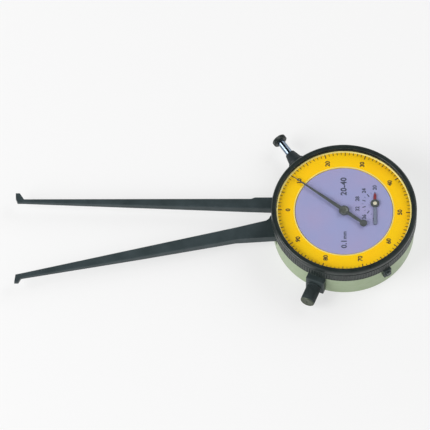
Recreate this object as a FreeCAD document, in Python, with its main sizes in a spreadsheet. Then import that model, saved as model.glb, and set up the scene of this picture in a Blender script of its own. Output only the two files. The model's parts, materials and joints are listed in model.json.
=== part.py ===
"""Inside dial caliper gauge, lying on its back.

The dial case is a short drum whose back face lies on Z = 0, centred on the
origin, with the dial looking up along +Z. Two long arms leave the case along
-X. The upper arm is fixed. The lower one turns on a pivot pin inside the case
and drives the pointers through a toothed sector and a train of wheels.
All lengths are millimetres and all angles degrees.
"""
import FreeCAD, Part
import math
import os
import re
import Sketcher

Vector = FreeCAD.Vector
Z_AXIS = Vector(0, 0, 1)

SIZES = [
    # case, seen as a turned drum with a web across it
    ("case_radius", 28.2),
    ("shoulder_width", 1.7),
    ("case_wall", 2.2),
    ("cover_thickness", 1.4),
    ("web_bottom", 2.2),
    ("web_thickness", 1.8),
    ("shoulder_rise", 1.4),
    ("neck_wall", 2.1),
    ("neck_rise", 0.6),
    ("edge_chamfer", 0.3),
    ("cover_screw_margin", 1.8),
    ("cover_screw_angle", 45.0),
    ("lug_radius", 2.4),
    # fits
    ("running_gap", 0.05),
    ("static_gap", 0.01),
    ("float_gap", 0.3),
    ("groove_play", 0.1),
    ("cut_margin", 1.0),
    ("thread_floor", 0.4),
    ("thread_clearance", 0.2),
    # bezel with its scale and crystal
    ("bezel_overhang", 0.8),
    ("bezel_lift", 0.15),
    ("bezel_brow", 0.4),
    ("bezel_chamfer", 0.4),
    ("bezel_groove_drop", 2.6),
    ("bezel_groove_size", 0.35),
    ("bezel_rim", 2.0),
    ("ledge_width", 1.8),
    ("ledge_lift", 0.25),
    ("ledge_thickness", 0.85),
    ("scale_width", 7.4),
    ("scale_thickness", 0.6),
    ("pointer_headroom", 0.55),
    ("crystal_thickness", 0.8),
    ("crystal_lip", 0.45),
    ("snap_ring_drop", 1.6),
    ("snap_ring_wire", 0.6),
    ("snap_ring_mouth", 2.0),
    # dial
    ("dial_gap", 0.2),
    ("dial_foot_length", 0.6),
    ("dial_thickness", 0.6),
    ("dial_foot_margin", 4.4),
    ("dial_foot_angle", 100.0),
    ("dial_foot_radius", 1.1),
    ("dial_pin_radius", 0.5),
    ("dial_hole_radius", 1.1),
    # arms
    ("arm_thickness", 4.0),
    ("arm_float", 0.2),
    ("arm_tip_rise", 1.2),
    ("arm_tip_reach", -131.3),
    ("arm_chamfer", 0.25),
    ("slot_headroom", 0.4),
    ("slot_depth", 6.1),
    ("slot_low", -9.0),
    ("slot_high", 10.6),
    ("fixed_root_inner", 5.5),
    ("fixed_root_outer", 10.5),
    ("fixed_root_inset", 8.7),
    ("fixed_step_reach", 7.2),
    ("fixed_step_run", 1.2),
    ("fixed_step_outer", 10.0),
    ("fixed_tip_x", -127.8),
    ("fixed_tip_inner", 8.9),
    ("fixed_tip_outer", 10.4),
    ("fixed_hook_reach", 13.0),
    ("fixed_hook_inset", 0.3),
    ("fixed_hook_rise", 0.6),
    ("fixed_hook_heel", 1.1),
    ("hook_width", 1.6),
    ("fixed_screw_inset", 1.9),
    ("fixed_screw_pitch", 3.5),
    ("arm_root_run", 1.0),
    ("arm_taper_inset", 3.1),
    ("pivot_pin_radius", 1.5),
    ("shoulder_reach", 1.7),
    ("shoulder_y", 3.3),
    ("shoulder_flat", 2.6),
    ("shoulder_slope", 0.7),
    ("shoulder_drop", 1.0),
    ("shoulder_foot_run", 0.8),
    ("shoulder_foot_rise", 0.6),
    ("moving_root_inner", 0.3),
    ("moving_root_outer", -7.4),
    ("moving_root_step", 0.8),
    ("moving_bend_x", -42.2),
    ("moving_bend_inner", -2.7),
    ("moving_bend_outer", -8.3),
    ("moving_mid_x", -81.4),
    ("moving_mid_inner", -11.9),
    ("moving_mid_outer", -16.1),
    ("moving_tip_x", -128.6),
    ("moving_tip_inner", -23.0),
    ("moving_tip_outer", -25.0),
    ("moving_hook_reach", -26.9),
    ("moving_hook_heel", 0.5),
    # lever inside the case that the button pushes
    ("button_angle", 124.5),
    # button
    ("button_height", 6.5),
    ("stem_radius", 1.45),
    ("stem_nose_radius", 1.0),
    ("stem_tip_radius", 0.6),
    ("stem_play", 0.19),
    ("stem_reach", 15.8),
    ("stem_shank_reach", 9.2),
    ("stem_tip_length", 0.5),
    ("button_head_radius", 2.9),
    ("button_head_thickness", 2.0),
    ("button_head_chamfer", 0.3),
    ("button_socket_depth", 1.4),
    ("guide_flange_radius", 3.5),
    ("guide_flange_length", 5.2),
    ("guide_cone_radius", 3.1),
    ("guide_end_radius", 2.0),
    ("guide_length", 9.5),
    ("guide_spigot_radius", 2.4),
    ("guide_spigot_reach", 0.6),
    ("guide_overlap", 0.5),
    ("stop_ring_thickness", 0.6),
    ("stop_ring_radius", 2.1),
    ("stop_ring_gap", 0.15),
    ("stop_groove_depth", 0.4),
    ("stop_ring_mouth", 1.4),
    # finger post
    ("post_angle", 247.3),
    ("post_height", 5.6),
    ("post_radius", 2.9),
    ("post_base_depth", 2.5),
    ("post_length", 7.8),
    ("post_chamfer", 0.35),
    ("post_stud_radius", 1.2),
    ("post_base_width", 7.6),
    ("post_base_bottom", 1.5),
    ("post_base_top", 10.2),
    # bezel clamp
    ("clamp_angle", 306.0),
    ("clamp_width", 3.4),
    ("clamp_height", 1.5),
    ("clamp_length", 4.55),
    ("clamp_head_radius", 1.25),
    ("clamp_head_thickness", 0.7),
    ("clamp_shank_radius", 0.8),
    # movement plates and pillars
    ("sector_headroom", 0.35),
    ("plate_thickness", 1.0),
    ("plate_clearance", 0.8),
    ("pillar_height", 3.2),
    ("bridge_thickness", 1.0),
    ("pillar_margin", 2.6),
    ("pillar_radius", 1.8),
    ("pillar_tenon_radius", 0.9),
    ("pillar_angle_a", 112.0),
    ("pillar_angle_b", 215.0),
    ("pillar_angle_c", 330.0),
    ("bridge_screw_length", 2.6),
    ("pillar_stud_length", 2.3),
    ("plate_window_angle_a", 45.0),
    ("plate_window_angle_b", 150.0),
    ("plate_window_angle_c", 315.0),
    ("bridge_window_angle_a", 50.0),
    ("bridge_window_angle_b", 165.0),
    ("bridge_window_angle_c", 290.0),
    # wheel train
    ("sector_teeth", 144),
    ("sector_tooth_count", 8),
    ("sector_thickness", 1.2),
    ("sector_rim", 3.0),
    ("sector_screw_offset", 0.2),
    ("sector_screw_inset", 3.2),
    ("sector_screw_length", 2.6),
    ("washer_width", 1.4),
    ("sector_foot_angle_outer", 35.5),
    ("sector_foot_angle_inner", 17.2),
    ("first_direction", 40.0),
    ("pinion_teeth", 12),
    ("modules_in_plate", 59),
    ("first_wheel_teeth", 36),
    ("second_wheel_teeth", 24),
    ("counter_teeth", 48),
    ("hair_wheel_teeth", 48),
    ("hair_direction", 255.0),
    ("wheel_thickness", 0.6),
    ("pinion_overlap", 0.1),
    ("shaft_radius", 0.6),
    ("wheel_lift", 0.3),
    ("wheel_step", 1.0),
    ("shaft_end_gap", 0.15),
    ("hairspring_turns", 4),
    ("hairspring_strip", 0.16),
    ("hairspring_start", 0.3),
    ("collet_wall", 0.35),
    ("stud_length", 1.6),
    ("stud_width", 1.4),
    ("stud_gap", 0.05),
    ("stud_rise", 0.2),
    # pointers
    ("pointer_angle", 143.0),
    ("pointer_margin", 2.0),
    ("pointer_width", 1.6),
    ("pointer_neck_share", 0.8),
    ("pointer_neck_width", 0.6),
    ("pointer_tip_width", 0.16),
    ("pointer_tail", 9.6),
    ("pointer_tail_width", 1.1),
    ("pointer_blob_radius", 1.5),
    ("pointer_hub_radius", 2.05),
    ("pointer_hub_drop", 0.4),
    ("pointer_hub_rise", 0.05),
    ("pointer_lift", 0.75),
    ("pointer_thickness", 0.25),
    ("small_pointer_length", 9.5),
    ("small_pointer_width", 1.3),
    ("small_pointer_tail", 4.5),
    ("small_tail_width", 0.7),
    ("small_hub_radius", 1.75),
    ("small_hub_drop", 0.1),
    ("small_hub_rise", 0.15),
    ("small_pointer_lift", 0.2),
    ("small_pointer_thickness", 0.2),
    # small fasteners
    ("screw_head_radius", 1.5),
    ("small_head_radius", 1.1),
    ("screw_head_height", 0.8),
    ("screw_shank_radius", 0.75),
    ("screw_slot_width", 0.35),
    ("screw_slot_depth", 0.35),
    # return spring
    ("spring_lift", 0.7),
    ("spring_width", 2.8),
    ("spring_strip", 0.5),
    ("spring_post_radius", 1.6),
    ("spring_gap", 0.05),
    ("spring_slot_margin", 0.4),
    ("spring_seat_gap", 0.1),
    ("spring_post_rise", 0.4),
]

# Sizes that follow from the ones above
DERIVED = {
    # case, seen as a turned drum with a web across it
    "web_top": "web_bottom + web_thickness",
    "neck_radius": "case_radius - shoulder_width",
    "shoulder_height": "plate_bottom + shoulder_rise",
    "neck_top": "bridge_bottom + neck_rise",
    "cover_screw_circle": "case_radius - case_wall - cover_screw_margin",
    # bezel with its scale and crystal
    "bezel_radius": "case_radius + bezel_overhang",
    "bezel_bottom": "shoulder_height + bezel_lift",
    "bezel_top": "crystal_bottom + crystal_thickness + bezel_brow",
    "bezel_groove_height": "bezel_top - bezel_groove_drop",
    "scale_bore": "bezel_radius - bezel_rim",
    "ledge_radius": "scale_bore - ledge_width",
    "ledge_bottom": "neck_top + ledge_lift",
    "ledge_top": "ledge_bottom + ledge_thickness",
    "scale_inner": "scale_bore - scale_width",
    "crystal_bottom": "pointer_bottom + pointer_headroom",
    "snap_ring_height": "neck_top - snap_ring_drop",
    # dial
    "dial_radius": "scale_inner - dial_gap",
    "dial_bottom": "bridge_bottom + bridge_thickness + dial_foot_length",
    "dial_foot_circle": "dial_radius - dial_foot_margin",
    # arms
    "arm_bottom": "web_top",
    "arm_tip_bottom": "arm_bottom + arm_tip_rise",
    "arm_tip_top": "arm_bottom + arm_thickness - arm_tip_rise",
    "arm_taper_start": "fixed_step_x - arm_taper_inset",
    "slot_top": "arm_bottom + arm_thickness + slot_headroom",
    "fixed_root_end": "-(case_radius - fixed_root_inset)",
    "fixed_step_x": "-(case_radius + fixed_step_reach)",
    "pivot_x": "-40 * train_module",
    "pivot_y": "-2.5 * train_module",
    "hub_radius": "13.5 * train_module",
    "shoulder_x": "-(case_radius + shoulder_reach)",
    # lever inside the case that the button pushes
    "lever_face": "14.425 * train_module",
    "lever_back": "2 * train_module",
    "lever_length": "39 * train_module",
    # button
    "stem_tip_reach": "pivot_x * cos(button_angle) + pivot_y * sin(button_angle) + lever_face + stem_play",
    "stem_nose_end": "case_radius - stem_shank_reach",
    "stem_outer_end": "case_radius + stem_reach",
    "guide_flange_end": "case_radius + guide_flange_length",
    "guide_end": "case_radius + guide_length",
    "guide_spigot_start": "case_radius - case_wall - guide_spigot_reach",
    # finger post
    "post_start": "case_radius + post_base_depth",
    "post_end": "post_start + post_length",
    # bezel clamp
    "clamp_outer": "case_radius + clamp_height",
    "clamp_top": "shoulder_height - running_gap",
    "clamp_bottom": "clamp_top - clamp_length",
    "clamp_screw_height": "(clamp_bottom + clamp_top) / 2",
    # movement plates and pillars
    "plate_bottom": "arm_bottom + arm_thickness + sector_thickness + running_gap + sector_headroom",
    "plate_radius": "neck_radius - neck_wall - plate_clearance",
    "bridge_bottom": "plate_bottom + plate_thickness + pillar_height",
    "pillar_circle": "plate_radius - pillar_margin",
    "plate_window_radius": "10.5 * train_module",
    "plate_window_circle": "37.5 * train_module",
    "bridge_window_radius": "14 * train_module",
    "bridge_window_circle": "41.25 * train_module",
    # wheel train
    "sector_radius": "60 * train_module",
    "sector_foot_outer": "18.5 * train_module",
    "sector_foot_inner": "14 * train_module",
    "train_module": "plate_radius / modules_in_plate",
    "counter_x": "30.875 * train_module",
    "counter_y": "8.375 * train_module",
    "first_wheel_bottom": "plate_bottom + plate_thickness + wheel_lift",
    "second_wheel_bottom": "first_wheel_bottom + wheel_step",
    "counter_wheel_bottom": "second_wheel_bottom + wheel_step",
    "shaft_bottom": "plate_bottom + shaft_end_gap",
    "shaft_top": "bridge_bottom + bridge_thickness - shaft_end_gap",
    "hairspring_pitch": "2.375 * train_module",
    # pointers
    "pointer_length": "scale_bore - pointer_margin",
    "pointer_bottom": "dial_bottom + dial_thickness + pointer_lift",
    "small_pointer_bottom": "dial_bottom + dial_thickness + small_pointer_lift",
    # return spring
    "spring_bottom": "web_top + spring_lift",
    "spring_post_x": "10 * train_module",
    "spring_post_y": "-37.5 * train_module",
    "spring_bend_x": "-15.5 * train_module",
    "spring_bend_y": "24 * train_module",
    "spring_contact": "26.5 * train_module",
}

doc = FreeCAD.newDocument("InsideDialGauge")
sheet = doc.addObject("Spreadsheet::Sheet", "Sizes")
for row, (alias, value) in enumerate(SIZES, start=1):
    sheet.set(f"A{row}", alias)
    sheet.set(f"B{row}", str(value))
    sheet.setAlias(f"B{row}", alias)
doc.recompute()

ALIASES = {alias for alias, value in SIZES}
PARTS = []


def sized(text):
    """Turn the plain words of a formula into references to the sheet."""
    def spelled(word):
        name = word[0]
        if name in DERIVED:
            return f"({sized(DERIVED[name])})"
        return f"Sizes.{name}" if name in ALIASES else name
    return re.sub(r"[a-z_]+", spelled, str(text))


def number(text):
    """Work out a formula of the sheet's values."""
    return float(sheet.evalExpression(sized(text)))


def bind(thing, **formulas):
    """Bind properties to formulas; a double underscore stands for a dot."""
    for path, formula in formulas.items():
        thing.setExpression(path.replace("__", "."), sized(formula))
    return thing


def place(thing, x=0, y=0, z=0, turn=None):
    """Put an object at a point, turned about the vertical by a formula."""
    if turn is not None:
        thing.Placement = FreeCAD.Placement(Vector(), FreeCAD.Rotation(Z_AXIS, number(turn)))
        thing.setExpression("Placement.Rotation.Angle", sized(turn))
    return bind(thing, Placement__Base__x=x, Placement__Base__y=y, Placement__Base__z=z)


def keep(thing, label):
    """Name a finished sub-part."""
    thing.Label = label
    PARTS.append(thing)
    return thing


def disc(name, radius, bottom, top, x=0, y=0):
    """Upright cylinder between two heights."""
    thing = doc.addObject("Part::Cylinder", name)
    return place(bind(thing, Radius=radius, Height=f"({top}) - ({bottom})"), x, y, bottom)


def rod(name, radius, start, end, height):
    """Cylinder that lies along the local X axis."""
    thing = doc.addObject("Part::Cylinder", name)
    thing.Placement = FreeCAD.Placement(Vector(), FreeCAD.Rotation(Vector(0, 1, 0), 90))
    bind(thing, Radius=radius, Height=f"({end}) - ({start})")
    return bind(thing, Placement__Base__x=start, Placement__Base__z=height)


def hole(name, radius, bottom, top, x=0, y=0):
    """Upright tool that passes right through between two heights."""
    return disc(name, radius, f"({bottom}) - cut_margin", f"({top}) + cut_margin", x, y)


def cross_hole(name, radius, start, end, height):
    """Tool along the local X axis that passes right through between two places."""
    return rod(name, radius, f"({start}) - cut_margin", f"({end}) + cut_margin", height)


def taper(name, radius_in, radius_out, start, end, height):
    """Cone that lies along the local X axis."""
    thing = doc.addObject("Part::Cone", name)
    thing.Placement = FreeCAD.Placement(Vector(), FreeCAD.Rotation(Vector(0, 1, 0), 90))
    bind(thing, Radius1=radius_in, Radius2=radius_out, Height=f"({end}) - ({start})")
    return bind(thing, Placement__Base__x=start, Placement__Base__z=height)


def block(name, x, y, z):
    """Box between pairs of limits along X, Y and Z."""
    thing = doc.addObject("Part::Box", name)
    bind(thing, Length=f"({x[1]}) - ({x[0]})", Width=f"({y[1]}) - ({y[0]})")
    bind(thing, Height=f"({z[1]}) - ({z[0]})")
    return place(thing, x[0], y[0], z[0])


def fuse(name, shapes):
    """Join shapes; those that don't meet stay separate solids."""
    thing = doc.addObject("Part::MultiFuse", name)
    thing.Shapes = shapes
    return thing


def group(name, shapes):
    """Compound that can be turned as one."""
    thing = doc.addObject("Part::Compound", name)
    thing.Links = shapes
    return thing


def cut(name, base, tools):
    """Take the tools away from the base."""
    thing = doc.addObject("Part::Cut", name)
    thing.Base = base
    thing.Tool = tools[0] if len(tools) == 1 else fuse(f"{name}Tools", tools)
    return thing


def sketch_on(body, name, role, points, height=0):
    """Closed outline whose corners are formulas, on one of the body's origin planes."""
    sketch = body.newObject("Sketcher::SketchObject", name)
    plane = [feature for feature in body.Origin.OriginFeatures if feature.Role == role]
    sketch.AttachmentSupport = (plane[0], [""])
    sketch.MapMode = "FlatFace"
    bind(sketch, AttachmentOffset__Base__z=height)
    corners = [(number(a), number(b)) for a, b in points]
    for index, corner in enumerate(corners):
        after = corners[(index + 1) % len(corners)]
        sketch.addGeometry(Part.LineSegment(Vector(*corner), Vector(*after)))
    for index in range(len(corners)):
        sketch.addConstraint(Sketcher.Constraint("Coincident", index, 2, (index + 1) % len(corners), 1))
    for index, (point, corner) in enumerate(zip(points, corners)):
        for kind, formula, value in zip(("DistanceX", "DistanceY"), point, corner):
            which = sketch.addConstraint(Sketcher.Constraint(kind, -1, 1, index, 1, value))
            sketch.setExpression(f"Constraints[{which}]", sized(formula))
    return sketch


def pad(body, name, points, bottom, height):
    """Upright pad of an outline."""
    feature = body.newObject("PartDesign::Pad", name)
    feature.Profile = sketch_on(body, f"{name}Outline", "XY_Plane", points, bottom)
    return bind(feature, Length=height)


def side_pocket(body, name, points):
    """Pocket through the whole body, outlined in the XZ plane."""
    feature = body.newObject("PartDesign::Pocket", name)
    feature.Profile = sketch_on(body, f"{name}Outline", "XZ_Plane", points)
    feature.Type = "ThroughAll"
    feature.SideType = "Symmetric"
    return feature


def revolve(body, name, points):
    """Full turn of a half section about the vertical axis."""
    feature = body.newObject("PartDesign::Revolution", name)
    sketch = sketch_on(body, f"{name}Section", "XZ_Plane", points)
    feature.Profile = sketch
    feature.ReferenceAxis = (sketch, ["V_Axis"])
    feature.Angle = 360
    return feature


def chamfer_edges(body, name, size, wanted):
    """Chamfer those edges of the body so far that the test picks."""
    doc.recompute()
    base = body.Tip
    picked = [f"Edge{i}" for i, edge in enumerate(base.Shape.Edges, start=1) if wanted(edge)]
    feature = body.newObject("PartDesign::Chamfer", name)
    feature.Base = (base, picked)
    return bind(feature, Size=size)


def slotted_screw(name, x, y, head_top, shank_end, head=None, height=None, shank=None):
    """Cheese-head screw, head up, with a straight slot."""
    head = head or "screw_head_radius"
    height = height or "screw_head_height"
    shank = shank or "screw_shank_radius"
    body = fuse(f"{name}Blank", [disc(f"{name}Head", head, f"({head_top}) - ({height})", head_top, x, y),
                                 disc(f"{name}Shank", shank, shank_end, f"({head_top}) - ({height})", x, y)])
    reach = f"({head}) + cut_margin"
    slot = block(f"{name}Slot", (f"({x}) - ({reach})", f"({x}) + {reach}"),
                 (f"({y}) - screw_slot_width / 2", f"({y}) + screw_slot_width / 2"),
                 (f"({head_top}) - screw_slot_depth", f"({head_top}) + cut_margin"))
    return cut(name, body, [slot])


def around(circle, angle):
    """Formulas for a point on a circle about the case centre."""
    return f"({circle}) * cos({angle})", f"({circle}) * sin({angle})"


# Places of the arbors: each follows from the wheels that mesh on it
SECTOR_MODULE = "(2 * sector_radius / sector_teeth)"
FIRST_DISTANCE = f"({SECTOR_MODULE} * (sector_teeth + pinion_teeth) / 2)"
FIRST = (f"(pivot_x + {FIRST_DISTANCE} * cos(first_direction))",
         f"(pivot_y + {FIRST_DISTANCE} * sin(first_direction))")
FIRST_TO_SECOND = "(train_module * (first_wheel_teeth + pinion_teeth) / 2)"
SECOND_TO_CENTRE = "(train_module * (second_wheel_teeth + pinion_teeth) / 2)"
FIRST_RADIUS = f"sqrt({FIRST[0]}^2 + {FIRST[1]}^2)"
ALONG = f"(({FIRST_RADIUS}^2 + {SECOND_TO_CENTRE}^2 - {FIRST_TO_SECOND}^2) / (2 * {FIRST_RADIUS}))"
ASIDE = f"sqrt({SECOND_TO_CENTRE}^2 - {ALONG}^2)"
SECOND = (f"(({ALONG} * {FIRST[0]} - {ASIDE} * {FIRST[1]}) / {FIRST_RADIUS})",
          f"(({ALONG} * {FIRST[1]} + {ASIDE} * {FIRST[0]}) / {FIRST_RADIUS})")
COUNTER = ("counter_x", "counter_y")
COUNTER_MODULE = "(2 * sqrt(counter_x^2 + counter_y^2) / (counter_teeth + pinion_teeth))"
HAIR_DISTANCE = "(train_module * (hair_wheel_teeth + pinion_teeth) / 2)"
HAIR = (f"({HAIR_DISTANCE} * cos(hair_direction))", f"({HAIR_DISTANCE} * sin(hair_direction))")
PIVOT = ("pivot_x", "pivot_y")
CENTRE = ("0", "0")
CASE_INNER = "(case_radius - case_wall)"
NECK_INNER = "(neck_radius - neck_wall)"
PLATE_TOP = "(plate_bottom + plate_thickness)"
BRIDGE_TOP = "(bridge_bottom + bridge_thickness)"
ARM_TOP = "(arm_bottom + arm_thickness)"
MOVING_BOTTOM = "(arm_bottom + arm_float)"
LEVER_ANGLE = "(button_angle - 90)"
PILLARS = ("pillar_angle_a", "pillar_angle_b", "pillar_angle_c")
FIXED_SCREWS = [("fixed_root_end - fixed_screw_inset", "(fixed_root_inner + fixed_root_outer) / 2"),
                ("fixed_root_end - fixed_screw_inset - fixed_screw_pitch",
                 "(fixed_root_inner + fixed_root_outer) / 2")]

WHEEL_TOOTH = {"tip": 0.8, "root": 1.1, "tip_share": 0.2, "root_share": 0.5}
PINION_TOOTH = {"tip": 0.6, "root": 1.2, "tip_share": 0.18, "root_share": 0.4}


def value_point(point):
    """Numbers of a pair of formulas."""
    return number(point[0]), number(point[1])


def tooth_points(centre, teeth, module, form, first_angle, first, count):
    """Corners of a run of straight-sided teeth, the one numbered 0 at first_angle."""
    step = 360 / teeth
    pitch_radius = teeth * module / 2
    root = (form["root_share"] * step / 2, pitch_radius - form["root"] * module)
    tip = (form["tip_share"] * step / 2, pitch_radius + form["tip"] * module)
    corners = []
    for index in range(first, first + count):
        middle = first_angle + index * step
        for side, (half, radius) in ((-1, root), (-1, tip), (1, tip), (1, root)):
            angle = math.radians(middle + side * half)
            corners.append(Vector(centre[0] + radius * math.cos(angle), centre[1] + radius * math.sin(angle)))
    return corners


def prism(corners, bottom, height):
    """Upright solid on a closed outline."""
    lifted = [Vector(corner.x, corner.y, bottom) for corner in corners]
    face = Part.Face(Part.makePolygon(lifted + lifted[:1]))
    return face.extrude(Vector(0, 0, height))


def mesh_angle(driver, driver_teeth, driver_angle, follower, follower_teeth):
    """Angle of a follower's tooth that puts it in mesh with its driver at rest."""
    line = math.degrees(math.atan2(follower[1] - driver[1], follower[0] - driver[0]))
    phase = (line - driver_angle) * driver_teeth / 360
    return line + 180 - (0.5 - phase) * 360 / follower_teeth


def gear(name, centre, teeth, module, form, angle, bottom, height, bore=0):
    """Toothed wheel as a plain shape worked out from the sheet's values."""
    shape = prism(tooth_points(centre, teeth, module, form, angle, 0, teeth), bottom, height)
    if bore:
        shape = shape.cut(Part.makeCylinder(bore, height, Vector(*centre, bottom)))
    thing = doc.addObject("Part::Feature", name)
    thing.Shape = shape
    return thing


def make_case():
    """Drum with a web across it, a neck for the bezel and an opening for the arms."""
    body = doc.addObject("PartDesign::Body", "CaseTurning")
    groove = "neck_radius - snap_ring_wire / 2"
    revolve(body, "CaseTurned", [
        (CASE_INNER, "cover_thickness"), ("case_radius", "cover_thickness"),
        ("case_radius", "shoulder_height - edge_chamfer"), ("case_radius - edge_chamfer", "shoulder_height"),
        ("neck_radius", "shoulder_height"), ("neck_radius", "snap_ring_height - snap_ring_wire / 2"),
        (groove, "snap_ring_height - snap_ring_wire / 2"), (groove, "snap_ring_height + snap_ring_wire / 2"),
        ("neck_radius", "snap_ring_height + snap_ring_wire / 2"), ("neck_radius", "neck_top"),
        (NECK_INNER, "neck_top"), (NECK_INNER, "shoulder_height - neck_wall / 2"),
        (CASE_INNER, "shoulder_height - neck_wall"), (CASE_INNER, "web_top"),
        ("0", "web_top"), ("0", "web_bottom"), (CASE_INNER, "web_bottom")])
    lugs = []
    for index in range(4):
        x, y = around("cover_screw_circle", f"(cover_screw_angle + {90 * index})")
        lugs.append(disc(f"CaseLug{index}", "lug_radius", "cover_thickness", "web_bottom", x, y))
    drum = fuse("CaseWithLugs", [body] + lugs)
    tools = [block("ArmOpening", ("-case_radius - cut_margin", "slot_depth - case_radius"),
                   ("slot_low", "slot_high"),
                   ("web_top", "slot_top"))]
    for index in range(4):
        x, y = around("cover_screw_circle", f"(cover_screw_angle + {90 * index})")
        tools.append(disc(f"CoverThread{index}", "screw_shank_radius + static_gap",
                          "cover_thickness - cut_margin",
                          "web_top - thread_floor", x, y))
    guide_hole = cross_hole("GuideHole", "guide_spigot_radius + static_gap", "guide_spigot_start",
                            "case_radius", "button_height")
    tools.append(place(group("GuideHoleTurned", [guide_hole]), turn="button_angle"))
    stud_hole = cross_hole("StudHole", "post_stud_radius + static_gap", CASE_INNER, "case_radius",
                           "post_height")
    tools.append(place(group("StudHoleTurned", [stud_hole]), turn="post_angle"))
    clamp_hole = cross_hole("ClampHole", "clamp_shank_radius + running_gap", CASE_INNER, "case_radius",
                            "clamp_screw_height")
    tools.append(place(group("ClampHoleTurned", [clamp_hole]), turn="clamp_angle"))
    tools.append(hole("PivotHole", "pivot_pin_radius + static_gap", "web_bottom", "web_top", *PIVOT))
    tools.append(hole("FirstHole", "shaft_radius + running_gap", "web_bottom", "web_top", *FIRST))
    tools.append(hole("SpringPostHole", "screw_shank_radius + static_gap", "web_bottom", "web_top",
                      "spring_post_x", "spring_post_y"))
    for index, angle in enumerate(PILLARS):
        tools.append(hole(f"PillarHole{index}", "pillar_tenon_radius + static_gap", "web_bottom",
                          "web_top", *around("pillar_circle", angle)))
    for index, (x, y) in enumerate(FIXED_SCREWS):
        tools.append(hole(f"FixedScrewHole{index}", "screw_shank_radius + static_gap", "web_bottom",
                          "web_top", x, y))
    keep(cut("CaseBody", drum, tools), "case_body")


def make_back_cover():
    """Flat lid with its four sunk screws."""
    blank = disc("CoverBlank", "case_radius", "0", "cover_thickness")
    doc.recompute()
    edge = doc.addObject("Part::Chamfer", "CoverEdge")
    edge.Base = blank
    size = number("edge_chamfer")
    edge.Edges = [(i, size, size) for i, e in enumerate(blank.Shape.Edges, start=1)
                  if e.Curve.TypeId == "Part::GeomCircle" and abs(e.CenterOfMass.z) < size]
    tools = []
    screws = []
    for index in range(4):
        x, y = around("cover_screw_circle", f"(cover_screw_angle + {90 * index})")
        tools.append(disc(f"CoverBore{index}", "screw_shank_radius + static_gap", "-cut_margin",
                          "cover_thickness + cut_margin",
                          x, y))
        tools.append(disc(f"CoverSink{index}", "screw_head_radius + static_gap", "-cut_margin",
                          "screw_head_height",
                          x, y))
        head = disc(f"CoverScrewHead{index}", "screw_head_radius", "running_gap", "screw_head_height", x, y)
        shank = disc(f"CoverScrewShank{index}", "screw_shank_radius", "screw_head_height",
                     "web_top - thread_floor - thread_clearance",
                     x, y)
        slot = block(f"CoverScrewSlot{index}",
                     (f"{x} - screw_head_radius - cut_margin", f"{x} + screw_head_radius + cut_margin"),
                     (f"{y} - screw_slot_width / 2", f"{y} + screw_slot_width / 2"),
                     ("-cut_margin", "screw_slot_depth"))
        screws.append(cut(f"CoverScrew{index}", fuse(f"CoverScrewBlank{index}", [head, shank]), [slot]))
    keep(cut("BackCover", edge, tools), "back_cover")
    keep(fuse("BackCoverScrews", screws), "back_cover_screws")


def arm_pads(name, outline, bottom, top):
    """Long arm: an outline seen from above, thinned towards its tip above and below."""
    body = doc.addObject("PartDesign::Body", f"{name}Body")
    pad(body, f"{name}Pad", outline, bottom, f"({top}) - ({bottom})")
    far = "arm_tip_reach - cut_margin"
    side_pocket(body, f"{name}TopTaper", [("arm_taper_start", top), (far, top), (far, "arm_tip_top")])
    side_pocket(body, f"{name}BottomTaper", [("arm_taper_start", bottom), (far, bottom),
                                             (far, "arm_tip_bottom")])
    shortest = number("(moving_bend_x - moving_mid_x) / 2")
    chamfer_edges(body, f"{name}EdgeChamfer", "arm_chamfer", lambda edge: edge.BoundBox.XLength > shortest)
    return body


def make_fixed_arm():
    """Upper arm, screwed down on the case's web."""
    hook = "arm_tip_reach + fixed_hook_inset"
    outline = [
        ("fixed_root_end", "fixed_root_inner"), ("fixed_root_end", "fixed_root_outer"),
        ("fixed_step_x", "fixed_root_outer"), ("fixed_step_x - fixed_step_run", "fixed_step_outer"),
        ("fixed_tip_x", "fixed_tip_outer"),
        (f"{hook} + hook_width", "fixed_hook_reach"), (hook, "fixed_hook_reach"),
        (hook, "fixed_tip_outer + fixed_hook_rise"), ("arm_tip_reach + fixed_hook_heel", "fixed_tip_inner"),
        ("fixed_tip_x", "fixed_tip_inner"), ("-case_radius - arm_root_run", "fixed_root_inner")]
    body = arm_pads("FixedArm", outline, "arm_bottom", ARM_TOP)
    tools = []
    screws = []
    for index, (x, y) in enumerate(FIXED_SCREWS):
        tools.append(hole(f"FixedArmBore{index}", "screw_shank_radius + static_gap", "arm_bottom", ARM_TOP,
                          x, y))
        tools.append(disc(f"FixedArmSink{index}", "screw_head_radius + static_gap",
                          f"{ARM_TOP} - screw_head_height", f"{ARM_TOP} + cut_margin", x, y))
        screws.append(slotted_screw(f"FixedArmScrew{index}", x, y, ARM_TOP, "web_bottom + thread_clearance"))
    keep(cut("FixedArm", body, tools), "fixed_arm")
    keep(fuse("FixedArmScrews", screws), "fixed_arm_screws")


def at_pivot(along, across):
    """Formulas for a point given along and across the lever, from the pivot."""
    return (f"(pivot_x + ({along}) * cos({LEVER_ANGLE}) - ({across}) * sin({LEVER_ANGLE}))",
            f"(pivot_y + ({along}) * sin({LEVER_ANGLE}) + ({across}) * cos({LEVER_ANGLE}))")


SECTOR_SCREWS = [at_pivot("lever_length / 2 + sector_screw_offset", "(lever_face + lever_back) / 2"),
                 at_pivot("lever_length - sector_screw_inset", "(lever_face + lever_back) / 2")]
SECTOR_BOTTOM = ARM_TOP
SECTOR_TOP = f"({ARM_TOP} + sector_thickness)"


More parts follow.
